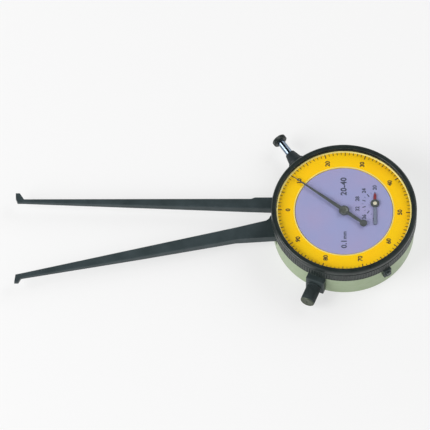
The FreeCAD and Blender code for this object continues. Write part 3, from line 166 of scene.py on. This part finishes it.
# Finishes of one colour: colour, roughness, metallic, noise scale, noise detail, roughness from and to
PLAIN_FINISHES = {
    "hairspring_bronze": (srgb(186, 134, 82), 0.3, 1.0, 900, 3, 0.22, 0.4),
    "print_dark": (srgb(50, 38, 12), 0.6, 0.0, 2000, 2, 0.5, 0.7),
    "print_slate": (srgb(66, 72, 90), 0.6, 0.0, 2000, 2, 0.5, 0.7),
    "pointer_slate": (srgb(111, 119, 140), 0.5, 0.0, 1500, 2, 0.45, 0.6),
    "gasket_cream": (srgb(232, 216, 124), 0.6, 0.0, 1500, 2, 0.5, 0.7),
    "hub_cream": (srgb(206, 202, 178), 0.4, 0.0, 1500, 2, 0.35, 0.5),
    "dark_screw": (srgb(70, 78, 78), 0.3, 0.7, 900, 3, 0.25, 0.4),
    "pointer_cap": (srgb(92, 96, 90), 0.4, 0.4, 1500, 2, 0.3, 0.45),
    "pointer_red": (srgb(128, 44, 52), 0.45, 0.0, 2000, 2, 0.4, 0.55),
}


class Surface:
    """A principled material with a few helpers for noise, bump and colour mixing."""

    def __init__(self, name, color, roughness, metallic=0.0, **sockets):
        self.material = bpy.data.materials.new(name)
        self.material.use_nodes = True
        self.nodes = self.material.node_tree.nodes
        self.links = self.material.node_tree.links
        self.shader = self.nodes["Principled BSDF"]
        self.shader.inputs["Base Color"].default_value = color
        self.shader.inputs["Roughness"].default_value = roughness
        self.shader.inputs["Metallic"].default_value = metallic
        for socket, value in sockets.items():
            self.shader.inputs[socket.replace("_", " ")].default_value = value

    def node(self, kind, **inputs):
        made = self.nodes.new(kind)
        for socket, value in inputs.items():
            made.inputs[socket.replace("_", " ")].default_value = value
        return made

    def coordinates(self, scale):
        """Object coordinates, stretched."""
        source = self.node("ShaderNodeTexCoord")
        mapping = self.node("ShaderNodeMapping", Scale=scale)
        self.links.new(source.outputs["Object"], mapping.inputs["Vector"])
        return mapping.outputs["Vector"]

    def noise(self, scale, detail, stretch=(1, 1, 1)):
        texture = self.node("ShaderNodeTexNoise", Scale=scale, Detail=detail, Roughness=NOISE_ROUGHNESS)
        self.links.new(self.coordinates(stretch), texture.inputs["Vector"])
        return texture.outputs["Fac"]

    def spread(self, value, low, high):
        """Map the usual span of a noise to a range."""
        ranged = self.node("ShaderNodeMapRange", From_Min=NOISE_LOW, From_Max=NOISE_HIGH,
                           To_Min=low, To_Max=high)
        self.links.new(value, ranged.inputs["Value"])
        return ranged.outputs["Result"]

    def vary_color(self, value, first, second):
        mix = self.nodes.new("ShaderNodeMix")
        mix.data_type = "RGBA"
        mix.inputs[MIX_FIRST].default_value = first
        mix.inputs[MIX_SECOND].default_value = second
        self.links.new(self.spread(value, 0, 1), mix.inputs[MIX_FACTOR])
        self.links.new(mix.outputs[MIX_RESULT], self.shader.inputs["Base Color"])

    def vary_roughness(self, value, low, high):
        self.links.new(self.spread(value, low, high), self.shader.inputs["Roughness"])

    def bump(self, value, strength, distance):
        relief = self.node("ShaderNodeBump", Strength=strength, Distance=distance)
        self.links.new(value, relief.inputs["Height"])
        self.links.new(relief.outputs["Normal"], self.shader.inputs["Normal"])


def make_materials():
    """One material for each finish on the gauge."""
    made = {}

    # Light satin metal; its sage-green tint is a painted reflection of greenish surroundings, laid into the
    # base colour
    s = Surface("drum_metal_green_reflection", srgb(152, 167, 135), 0.38, 0.5)
    s.vary_color(s.noise(9, 5, (30, 30, 900)), srgb(144, 161, 125), srgb(162, 175, 149))
    s.vary_roughness(s.noise(300, 4), 0.32, 0.46)
    s.bump(s.noise(14, 3, (20, 20, 1500)), 0.12, 0.00004)
    made["case_metal"] = s.material

    # Same light metal as the drum, with the same painted green reflection tint in its base colour
    s = Surface("cover_metal_green_reflection", srgb(152, 167, 135), 0.4, 0.5)
    s.vary_color(s.noise(9, 4, (6, 700, 700)), srgb(147, 162, 130), srgb(157, 171, 141))
    s.vary_roughness(s.noise(300, 4), 0.34, 0.46)
    s.bump(s.noise(14, 3, (4, 1200, 1200)), 0.12, 0.00004)
    made["cover_metal_green_reflection"] = s.material

    s = Surface("blackened_steel", srgb(53, 63, 65), 0.4, 0.25, Specular_IOR_Level=0.2)
    s.vary_color(s.noise(160, 6), srgb(48, 58, 60), srgb(60, 70, 73))
    s.vary_roughness(s.noise(600, 4), 0.36, 0.46)
    s.bump(s.noise(2500, 4), 0.07, 0.00002)
    made["blackened_steel"] = s.material

    s = Surface("black_enamel", srgb(26, 33, 32), 0.34, 0.0, Specular_IOR_Level=0.28, Coat_Weight=0.05,
                Coat_Roughness=0.2)
    s.vary_color(s.noise(220, 5), srgb(21, 28, 27), srgb(34, 42, 40))
    s.vary_roughness(s.noise(700, 4), 0.26, 0.42)
    s.bump(s.noise(2600, 3), 0.08, 0.00003)
    made["black_enamel"] = s.material

    s = Surface("post_black", srgb(48, 57, 58), 0.45, 0.0, Specular_IOR_Level=0.25)
    s.vary_color(s.noise(260, 5), srgb(43, 52, 53), srgb(55, 64, 65))
    s.vary_roughness(s.noise(700, 4), 0.36, 0.52)
    made["post_black"] = s.material

    s = Surface("guide_black", srgb(30, 38, 41), 0.5, 0.0, Specular_IOR_Level=0.2)
    s.vary_color(s.noise(260, 5), srgb(26, 34, 37), srgb(36, 44, 47))
    s.vary_roughness(s.noise(700, 4), 0.42, 0.58)
    made["guide_black"] = s.material

    s = Surface("worn_end", srgb(58, 65, 51), 0.42, 0.3)
    s.vary_color(s.noise(900, 4), srgb(48, 55, 42), srgb(70, 77, 61))
    made["worn_end"] = s.material

    s = Surface("bright_steel", srgb(200, 207, 214), 0.16, 1.0)
    s.vary_roughness(s.noise(500, 4, (1, 1, 6)), 0.10, 0.24)
    s.bump(s.noise(1600, 3, (1, 1, 8)), 0.05, 0.00002)
    made["bright_steel"] = s.material

    # Polished steel whose base colour is darkened and tinted blue: a painted dark, blue reflection over the
    # steel's own grey
    s = Surface("stem_steel_blue_reflection", srgb(118, 132, 148), 0.18, 1.0)
    s.vary_roughness(s.noise(500, 4), 0.13, 0.25)
    s.bump(s.noise(1600, 3), 0.04, 0.00002)
    made["stem_steel_blue_reflection"] = s.material

    s = Surface("brass", srgb(196, 160, 88), 0.28, 1.0)
    s.vary_color(s.noise(150, 4), srgb(186, 148, 78), srgb(206, 172, 102))
    s.vary_roughness(s.noise(500, 4, (1, 8, 1)), 0.22, 0.38)
    made["brass"] = s.material

    s = Surface("scale_yellow", srgb(250, 198, 0), 0.5, Specular_IOR_Level=0.1)
    s.vary_color(s.noise(90, 3), srgb(252, 196, 0), srgb(246, 201, 0))
    s.vary_roughness(s.noise(1200, 3), 0.44, 0.58)
    s.bump(s.noise(5000, 2), 0.04, 0.00002)
    made["scale_yellow"] = s.material

    s = Surface("dial_lilac", srgb(154, 155, 196), 0.5, Specular_IOR_Level=0.2)
    s.vary_color(s.noise(80, 3), srgb(150, 155, 197), srgb(159, 154, 193))
    s.vary_roughness(s.noise(1200, 3), 0.44, 0.58)
    s.bump(s.noise(5000, 2), 0.04, 0.00002)
    made["dial_lilac"] = s.material

    s = Surface("pointer_grey", srgb(74, 79, 78), 0.45, 0.1)
    s.vary_color(s.noise(400, 3), srgb(67, 72, 71), srgb(83, 88, 88))
    made["pointer_grey"] = s.material

    s = Surface("crystal", srgb(70, 76, 80), 0.04, Alpha=0.04)
    s.vary_roughness(s.noise(60, 2), 0.02, 0.06)
    made["crystal"] = s.material

    for name, (color, roughness, metallic, scale, detail, low, high) in PLAIN_FINISHES.items():
        s = Surface(name, color, roughness, metallic)
        s.vary_roughness(s.noise(scale, detail), low, high)
        made[name] = s.material
    return made


MATERIALS = make_materials()


def dress(thing, finish):
    """Give an object one of the finishes."""
    thing.data.materials.clear()
    thing.data.materials.append(MATERIALS[finish])


def dress_cad():
    """Every CAD node takes the finish of its slot in the record, except two."""
    for row in frame["record"]["subparts"]:
        dress(frame["nodes"][row["node"]], row["material_slot"])
    dress(frame["nodes"]["back_cover"], "cover_metal_green_reflection")
    dress(frame["nodes"]["button_stem"], "stem_steel_blue_reflection")


# Pieces in mesh code

def finished(mesh, name):
    """Mesh data made from a mesh under work, which is freed."""
    data = bpy.data.meshes.new(name)
    mesh.to_mesh(data)
    mesh.free()
    return data


def sharpened(mesh, angle):
    """Smooth shading with hard edges where faces meet sharply."""
    mesh.shade_smooth()
    mesh.set_sharp_from_angle(angle=math.radians(angle))


def add_piece(name, mesh, body, finish, slot, *stands_for):
    """Put a mesh in the scene, riding on a body of the frame."""
    piece = bpy.data.objects.new(name, mesh)
    bpy.context.scene.collection.objects.link(piece)
    dress(piece, finish)
    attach(piece, body)
    if stands_for:
        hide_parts(*stands_for)
    return piece


def soften(node, width, finish):
    """Stand-in for a machined solid, of the same form but with its sharp edges broken."""
    record = frame["record"]
    body = [name for name, nodes in record["behaviour"]["bodies"].items() if node in nodes][0]
    slot = [row["material_slot"] for row in record["subparts"] if row["node"] == node][0]
    mesh = bmesh.new()
    mesh.from_mesh(frame["nodes"][node].data)
    bmesh.ops.remove_doubles(mesh, verts=mesh.verts, dist=WELD * MM)
    bmesh.ops.dissolve_limit(mesh, angle_limit=math.radians(FLAT_ANGLE), verts=mesh.verts, edges=mesh.edges)
    edges = [edge for edge in mesh.edges
             if edge.calc_face_angle(0) > math.radians(BROKEN_EDGE_ANGLE)
             and edge.calc_length() > WIDTHS_TO_BREAK * width * MM]
    bmesh.ops.bevel(mesh, geom=edges, offset=width * MM, segments=2, profile=0.5, affect="EDGES",
                    clamp_overlap=True)
    data = finished(mesh, f"{node}_skin")
    sharpened(data, SOFT_SHARP_ANGLE)
    add_piece(f"{node}_skin", data, body, finish, slot, node)


def rounded(points, radius, closed=True):
    """Section whose corners are rounded; an open one keeps its two ends."""
    made = []
    count = len(points)
    steps = 3
    most_reach = 0.4
    for index, here in enumerate(points):
        if not closed and index in (0, count - 1):
            made.append(here)
            continue
        corner = Vector(here)
        before = Vector(points[index - 1]) - corner
        behind = Vector(points[(index + 1) % count]) - corner
        reach = min(radius, before.length * most_reach, behind.length * most_reach)
        first = corner + before.normalized() * reach
        last = corner + behind.normalized() * reach
        for step in range(steps + 1):
            t = step / steps
            made.append(tuple((1 - t) ** 2 * first + 2 * t * (1 - t) * corner + t ** 2 * last))
    return made


def lathe(name, section, segments, closed=True, relief=None):
    """Mesh turned about Z from a section; relief gives how far a point sinks."""
    mesh = bmesh.new()
    axis_radius = 1e-6
    rings = []
    for radius, height in section:
        if radius < axis_radius:
            rings.append([mesh.verts.new((0, 0, height * MM))])
            continue
        ring = []
        for step in range(segments):
            angle = 2 * math.pi * step / segments
            r = radius - (relief(radius, height, angle) if relief else 0)
            ring.append(mesh.verts.new((r * math.cos(angle) * MM, r * math.sin(angle) * MM, height * MM)))
        rings.append(ring)
    for index in range(len(rings) if closed else len(rings) - 1):
        lower, upper = rings[index], rings[(index + 1) % len(rings)]
        for step in range(segments):
            after = (step + 1) % segments
            corners = [lower[step % len(lower)], lower[after % len(lower)],
                       upper[after % len(upper)], upper[step % len(upper)]]
            corners = list(dict.fromkeys(corners))
            if len(corners) > 2:
                mesh.faces.new(corners)
    bmesh.ops.recalc_face_normals(mesh, faces=mesh.faces)
    data = finished(mesh, name)
    sharpened(data, SHARP_ANGLE)
    return data


def along_radius(angle, height):
    """Turns the local Z axis to point out from the case centre."""
    return (Matrix.Translation((0, 0, height * MM)) @ Matrix.Rotation(math.radians(angle), 4, "Z")
            @ Matrix.Rotation(math.radians(90), 4, "Y"))


def knurl(count, depth, low, high, least_radius):
    """Straight ridges round the band between two heights, which run out at its ends."""
    fade = 0.15

    def sink(radius, height, angle):
        if radius < least_radius or not low <= height <= high:
            return 0
        share = min(1, (height - low) / fade, (high - height) / fade)
        return depth * share * (1 - abs(math.cos(count * angle / 2)))
    return sink


def make_bezel():
    """Bezel with a finely knurled band, softened edges and a groove."""
    low, high, outer = BEZEL_LOW.z / MM, BEZEL_HIGH.z / MM, BEZEL_RADIUS / MM
    fit = 0.01
    bore = SCALE_RADIUS / MM + fit
    inner = outer - BEZEL_WALL
    lip = CRYSTAL_HIGH.x / MM + fit
    glass_low, glass_high = CRYSTAL_LOW.z / MM, CRYSTAL_HIGH.z / MM
    ledge = SCALE_LOW.z / MM
    ledge_low, ledge_inner = ledge - 0.85, bore - 1.8
    wire_low, wire_high, wire_depth = low + 1.25, low + 2.05, 0.55
    groove, groove_depth = high - 2.6, 0.35
    edge, rim = 0.2, 0.4
    knurl_low, knurl_high = low + 0.45, groove - 0.6
    run_out = 0.15
    section = [(inner, low), (outer - edge, low), (outer, low + edge),
               (outer, knurl_low), (outer, knurl_low + run_out),
               (outer, knurl_high - run_out), (outer, knurl_high),
               (outer, groove - groove_depth), (outer - groove_depth, groove), (outer, groove + groove_depth),
               (outer, high - rim), (outer - rim, high), (bore + edge, high), (bore, high - edge),
               (bore, glass_high), (lip, glass_high), (lip, glass_low), (bore, glass_low),
               (bore, ledge), (ledge_inner, ledge), (ledge_inner, ledge_low), (inner, ledge_low),
               (inner, wire_high), (inner + wire_depth, wire_high), (inner + wire_depth, wire_low),
               (inner, wire_low)]
    mesh = lathe("bezel_skin", rounded(section, 0.12), BEZEL_SEGMENTS,
                 relief=knurl(BEZEL_RIDGES, 0.2, knurl_low, knurl_high, outer - 0.02))
    add_piece("bezel_skin", mesh, "bezel", "black_enamel", "black_enamel", "bezel_ring")


def make_scale_edge():
    """Pale rims of the scale, one against the bezel's wall and one beside the dial plate."""
    low = SCALE_TOP / MM + RIM_LIFT
    outer = SCALE_RADIUS / MM - 0.02
    section = [(outer - 0.6, low), (outer, low), (outer, low + 0.4), (outer - 0.2, low + 0.4)]
    mesh = lathe("scale_gasket", rounded(section, 0.06), 240)
    add_piece("scale_gasket", mesh, "bezel", "gasket_cream", "scale_yellow")
    inner = SCALE_RADIUS / MM - SCALE_WIDTH
    section = [(inner + 0.05, low), (inner + 0.5, low), (inner + 0.4, low + 0.08), (inner + 0.15, low + 0.08)]
    mesh = lathe("scale_inner_rim", rounded(section, 0.02), 240)
    add_piece("scale_inner_rim", mesh, "bezel", "gasket_cream", "scale_yellow")


def make_button():
    """Button head with fine ridges and a dished face, bored for the stem."""
    low, high, outer = BUTTON_START, BUTTON_START + BUTTON_LENGTH, BUTTON_RADIUS
    edge, run_out = 0.3, 0.15
    bore_end = low + 1.38
    section = [(0, bore_end), (STEM_RADIUS, bore_end), (STEM_RADIUS, low), (outer - edge, low),
               (outer, low + edge), (outer, low + edge + run_out),
               (outer, high - edge - run_out), (outer, high - edge),
               (outer - edge, high), (2.05, high), (1.8, high - 0.15), (0, high - 0.2)]
    mesh = lathe("button_head_skin", rounded(section, 0.08, closed=False), 192, closed=False,
                 relief=knurl(RIDGES, 0.12, low + 0.35, high - 0.35, outer - 0.05))
    mesh.transform(along_radius(BUTTON_ANGLE, BUTTON_HEIGHT))
    add_piece("button_head_skin", mesh, "button", "black_enamel", "black_enamel", "button_head")


def make_finger_post():
    """Finger post with straight ridges and a turned end face."""
    low, high, outer = POST_START, POST_END, POST_RADIUS
    edge, knurl_inset, run_out = 0.35, 0.6, 0.15
    neck_tip, neck_edge_end = NECK_RADIUS - 0.1, NECK_START + 0.15
    dish = high - 0.08
    section = [(0, NECK_START), (neck_tip, NECK_START), (NECK_RADIUS, neck_edge_end), (NECK_RADIUS, low),
               (outer - edge, low), (outer, low + edge), (outer, low + knurl_inset),
               (outer, low + knurl_inset + run_out), (outer, high - knurl_inset - run_out),
               (outer, high - knurl_inset), (outer, high - edge), (outer - edge, high),
               (2.0, high), (1.9, dish), (0.5, dish), (0.35, high - 0.3), (0, high - 0.45)]
    mesh = lathe("finger_post_skin", rounded(section, 0.08, closed=False), 288, closed=False,
                 relief=knurl(RIDGES, 0.16, low + knurl_inset, high - knurl_inset, outer - 0.05))
    mesh.transform(along_radius(POST_ANGLE, POST_HEIGHT))
    piece = add_piece("finger_post_skin", mesh, "case", "post_black", "black_enamel", "finger_post")
    piece.data.materials.append(MATERIALS["worn_end"])
    outward = Vector((math.cos(math.radians(POST_ANGLE)), math.sin(math.radians(POST_ANGLE)), 0))
    least_facing = 0.6
    for face in piece.data.polygons:
        if face.normal.dot(outward) > least_facing and face.center.dot(outward) > (high - knurl_inset) * MM:
            face.material_index = 1


# Dial print

def flat_marks(name, marks, height):
    """Thin flat strips, each given by (start radius, end radius, width, angle, centre)."""
    mesh = bmesh.new()
    for start, end, width, angle, centre in marks:
        turn = math.radians(angle)
        out = Vector((math.cos(turn), math.sin(turn), 0))
        side = Vector((-out.y, out.x, 0)) * width / 2
        middle = Vector((centre[0], centre[1], 0))
        corners = [middle + out * start - side, middle + out * end - side,
                   middle + out * end + side, middle + out * start + side]
        low = [mesh.verts.new((c.x * MM, c.y * MM, height)) for c in corners]
        top = [mesh.verts.new((c.x * MM, c.y * MM, height + PRINT_HEIGHT * MM)) for c in corners]
        mesh.faces.new(top)
        mesh.faces.new(low[::-1])
        for i in range(4):
            after = (i + 1) % 4
            mesh.faces.new((low[i], low[after], top[after], top[i]))
    return finished(mesh, name)


def lettering(name, words, height, spacing=1.0):
    """Figures that read from the -Y side to the +Y side, each given by (text, size, x, y)."""
    mesh = bmesh.new()
    for text, size, x, y in words:
        curve = bpy.data.curves.new("figure", "FONT")
        curve.body = text
        curve.size = size * MM * FIGURE_SCALE
        curve.extrude = FIGURE_HALF_HEIGHT * MM
        curve.offset = STROKE_SHARE * size * MM
        curve.space_character = spacing
        curve.resolution_u = 4
        curve.align_x = "CENTER"
        curve.align_y = "CENTER"
        thing = bpy.data.objects.new("figure", curve)
        bpy.context.scene.collection.objects.link(thing)
        bpy.context.view_layer.update()
        shape = bpy.data.meshes.new_from_object(thing.evaluated_get(bpy.context.evaluated_depsgraph_get()))
        shape.transform(Matrix.Translation((x * MM, y * MM, height + FIGURE_LIFT * MM))
                        @ Matrix.Rotation(math.radians(90), 4, "Z"))
        mesh.from_mesh(shape)
        bpy.data.objects.remove(thing)
        bpy.data.curves.remove(curve)
        bpy.data.meshes.remove(shape)
    return finished(mesh, name)


def make_scale_print():
    """Divisions and figures of the turning scale."""
    marks = []
    step_angle = 360 / SCALE_STEPS
    for step in range(SCALE_STEPS):
        start = TICK_STARTS.get(step % 10, SHORT_TICK_START)
        width = TICK_WIDTHS.get(step % 10, SHORT_TICK_WIDTH)
        marks.append((start, TICK_END, width, ZERO_ANGLE - step_angle * step, (0, 0)))
    add_piece("scale_divisions", flat_marks("scale_divisions", marks, SCALE_TOP), "bezel", "print_dark",
              "scale_yellow")
    figures = []
    for number in range(0, SCALE_STEPS, 10):
        angle = math.radians(ZERO_ANGLE - step_angle * number)
        figures.append((str(number), FIGURE_SIZE, FIGURE_RADIUS * math.cos(angle),
                        FIGURE_RADIUS * math.sin(angle)))
    add_piece("scale_figures", lettering("scale_figures", figures, SCALE_TOP), "bezel", "print_dark",
              "scale_yellow")


def make_plate_print():
    """Turn counter's divisions and figures, and the words of the dial plate."""
    centre = (COUNTER.x / MM, COUNTER.y / MM)
    marks = []
    for step in range(COUNTER_STEPS):
        angle = COUNTER_START_ANGLE + COUNTER_STEP_ANGLE * step
        marks.append((COUNTER_TICK_START, COUNTER_TICK_END, COUNTER_TICK_WIDTH, angle, centre))
    for step in range(COUNTER_STEPS - 1):
        angle = COUNTER_START_ANGLE + COUNTER_STEP_ANGLE * (step + 0.5)
        marks.append((COUNTER_HALF_START, COUNTER_TICK_END, COUNTER_HALF_WIDTH, angle, centre))
    add_piece("counter_divisions", flat_marks("counter_divisions", marks, DIAL_TOP), "case", "print_slate",
              "dial_lilac")
    figures = []
    for step in range(COUNTER_STEPS):
        angle = math.radians(COUNTER_START_ANGLE + COUNTER_STEP_ANGLE * step)
        figures.append((str(COUNTER_FIRST_NUMBER + COUNTER_NUMBER_STEP * step), COUNTER_FIGURE_SIZE,
                        centre[0] + COUNTER_FIGURE_RADIUS * math.cos(angle),
                        centre[1] + COUNTER_FIGURE_RADIUS * math.sin(angle)))
    add_piece("counter_figures", lettering("counter_figures", figures, DIAL_TOP), "case", "print_slate",
              "dial_lilac")
    words = [("20-40", 2.4, 0, 11.2), ("0.1", 2.2, 0, -14.7), ("mm", 1.6, 0.2, -10.8)]
    add_piece("dial_words", lettering("dial_words", words, DIAL_TOP, WORD_SPACING), "case", "print_slate",
              "dial_lilac")


# Pointers

def strip(name, rows, bottom, finish):
    """Thin painted strip on the small pointer, from (y in metres, half width) along it."""
    mesh = bmesh.new()
    profile = ((-1, 0), (-0.9, PAINT_HEIGHT), (0.9, PAINT_HEIGHT), (1, 0))
    rings = [[mesh.verts.new((COUNTER.x + side * half * MM, y, bottom + lift * MM)) for side, lift in profile]
             for y, half in rows]
    for first, second in zip(rings, rings[1:]):
        for i in range(4):
            after = (i + 1) % 4
            mesh.faces.new((first[i], first[after], second[after], second[i]))
    mesh.faces.new(rings[0])
    mesh.faces.new(rings[-1][::-1])
    bmesh.ops.recalc_face_normals(mesh, faces=mesh.faces)
    add_piece(name, finished(mesh, name), "counter_train", finish, "pointer_grey")


def make_pointers():
    """Caps on the two hubs, and the painted blade and red tail of the small pointer."""
    sunk = 0.02
    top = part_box("main_pointer")[1].z / MM
    section = [(0, top + 0.13), (0.9, top + 0.13), (1.4, top + 0.02), (1.4, top - sunk), (0, top - sunk)]
    mesh = lathe("main_hub_cap", rounded(section, 0.05, closed=False), 64, closed=False)
    add_piece("main_hub_cap", mesh, "centre_train", "pointer_cap", "pointer_grey")
    low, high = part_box("small_pointer")
    top = high.z / MM
    section = [(0, top + 0.1), (0.6, top + 0.1), (0.8, top), (0.8, top - sunk), (0, top - sunk)]
    mesh = lathe("small_hub_cap", rounded(section, 0.04, closed=False), 48, closed=False)
    mesh.transform(Matrix.Translation((COUNTER.x, COUNTER.y, 0)))
    add_piece("small_hub_cap", mesh, "counter_train", "hub_cream", "pointer_grey")
    blade_top = (top - SMALL_HUB_RISE) * MM
    tail = COUNTER.y + PAINT_START * MM
    strip("small_pointer_tail", [(tail, 0.62), (0.3 * tail + 0.7 * high.y, 0.55), (high.y, 0.3)], blade_top,
          "pointer_red")
    blade = COUNTER.y - PAINT_START * MM
    strip("small_pointer_blade", [(low.y + 0.05 * MM, 0.6), (blade, 0.6)], blade_top, "pointer_slate")


# Studio

def make_floor():
    """Pale floor, just under the gauge."""
    bpy.ops.mesh.primitive_plane_add(size=FLOOR_SIZE, location=(0, 0, -FLOOR_DROP))
    floor = bpy.context.object
    floor.name = "floor"
    s = Surface("floor_pale", srgb(140, 140, 140), 0.95, Specular_IOR_Level=0.1,
                Emission_Color=PALE, Emission_Strength=FLOOR_GLOW)
    floor.data.materials.append(s.material)


def make_world():
    """Even pale light, with a dark flag overhead that gives polished rods their dark line."""
    world = bpy.data.worlds.new("studio")
    bpy.context.scene.world = world
    world.use_nodes = True
    nodes, links = world.node_tree.nodes, world.node_tree.links

    def greater(first, second):
        """The greater of two values."""
        made = nodes.new("ShaderNodeMath")
        made.operation = "MAXIMUM"
        links.new(first, made.inputs[0])
        links.new(second, made.inputs[1])
        return made.outputs[0]

    direction = nodes.new("ShaderNodeTexCoord").outputs["Generated"]
    facing = nodes.new("ShaderNodeVectorMath")
    facing.operation = "DOT_PRODUCT"
    facing.inputs[1].default_value = Vector(FLAG_DIRECTION).normalized()
    links.new(direction, facing.inputs[0])
    flag = nodes.new("ShaderNodeMapRange")
    flag.inputs["From Min"].default_value = math.cos(math.radians(FLAG_EDGE))
    flag.inputs["From Max"].default_value = math.cos(math.radians(FLAG_CORE))
    flag.inputs["To Min"].default_value = 1.0
    flag.inputs["To Max"].default_value = FLAG_DARK
    links.new(facing.outputs["Value"], flag.inputs["Value"])
    light = nodes["Background"]
    light.inputs["Strength"].default_value = WORLD_STRENGTH
    links.new(flag.outputs["Result"], light.inputs["Color"])

    # The pale backdrop is seen directly and in metal and glass; seen directly, it has no flag
    rays = nodes.new("ShaderNodeLightPath").outputs
    backdrop = nodes.new("ShaderNodeBackground")
    backdrop.inputs["Color"].default_value = PALE
    links.new(greater(flag.outputs["Result"], rays["Is Camera Ray"]), backdrop.inputs["Strength"])
    shown = greater(greater(rays["Is Camera Ray"], rays["Is Glossy Ray"]), rays["Is Transmission Ray"])
    mix = nodes.new("ShaderNodeMixShader")
    links.new(shown, mix.inputs[0])
    links.new(light.outputs[0], mix.inputs[1])
    links.new(backdrop.outputs[0], mix.inputs[2])
    links.new(mix.outputs[0], nodes["World Output"].inputs["Surface"])


def make_lamps():
    """Soft key light from the left and a weaker fill from the far right."""
    for name, place, power in LAMPS:
        light = bpy.data.lights.new(name, "AREA")
        light.size = LAMP_SIZE
        light.energy = power
        lamp = bpy.data.objects.new(name, light)
        lamp.location = place
        lamp.rotation_euler = (Vector(LAMP_TARGET) - Vector(place)).to_track_quat("-Z", "Y").to_euler()
        bpy.context.scene.collection.objects.link(lamp)


def make_camera():
    """Long lens at the photograph's viewing angle and scale."""
    width = PIXELS * PIXEL * MM
    target = Vector([value * MM for value in CAMERA_TARGET])
    elevation = math.radians(ELEVATION)
    data = bpy.data.cameras.new("camera")
    data.sensor_width = SENSOR_WIDTH
    data.lens = SENSOR_WIDTH * CAMERA_DISTANCE / width
    camera = bpy.data.objects.new("camera", data)
    camera.location = target + CAMERA_DISTANCE * Vector((0, -math.cos(elevation), math.sin(elevation)))
    camera.rotation_euler = (target - camera.location).to_track_quat("-Z", "Y").to_euler()
    bpy.context.scene.collection.objects.link(camera)
    bpy.context.scene.camera = camera
    bpy.context.scene.view_settings.view_transform = "Standard"


dress_cad()
make_bezel()
make_scale_edge()
make_button()
make_finger_post()
make_scale_print()
make_plate_print()
make_pointers()
soften("finger_post_base", 0.35, "post_black")
soften("bezel_clamp_tab", 0.2, "post_black")
soften("bezel_clamp_screw", 0.08, "dark_screw")
soften("button_guide", 0.15, "guide_black")
make_floor()
make_world()
make_lamps()
make_camera()
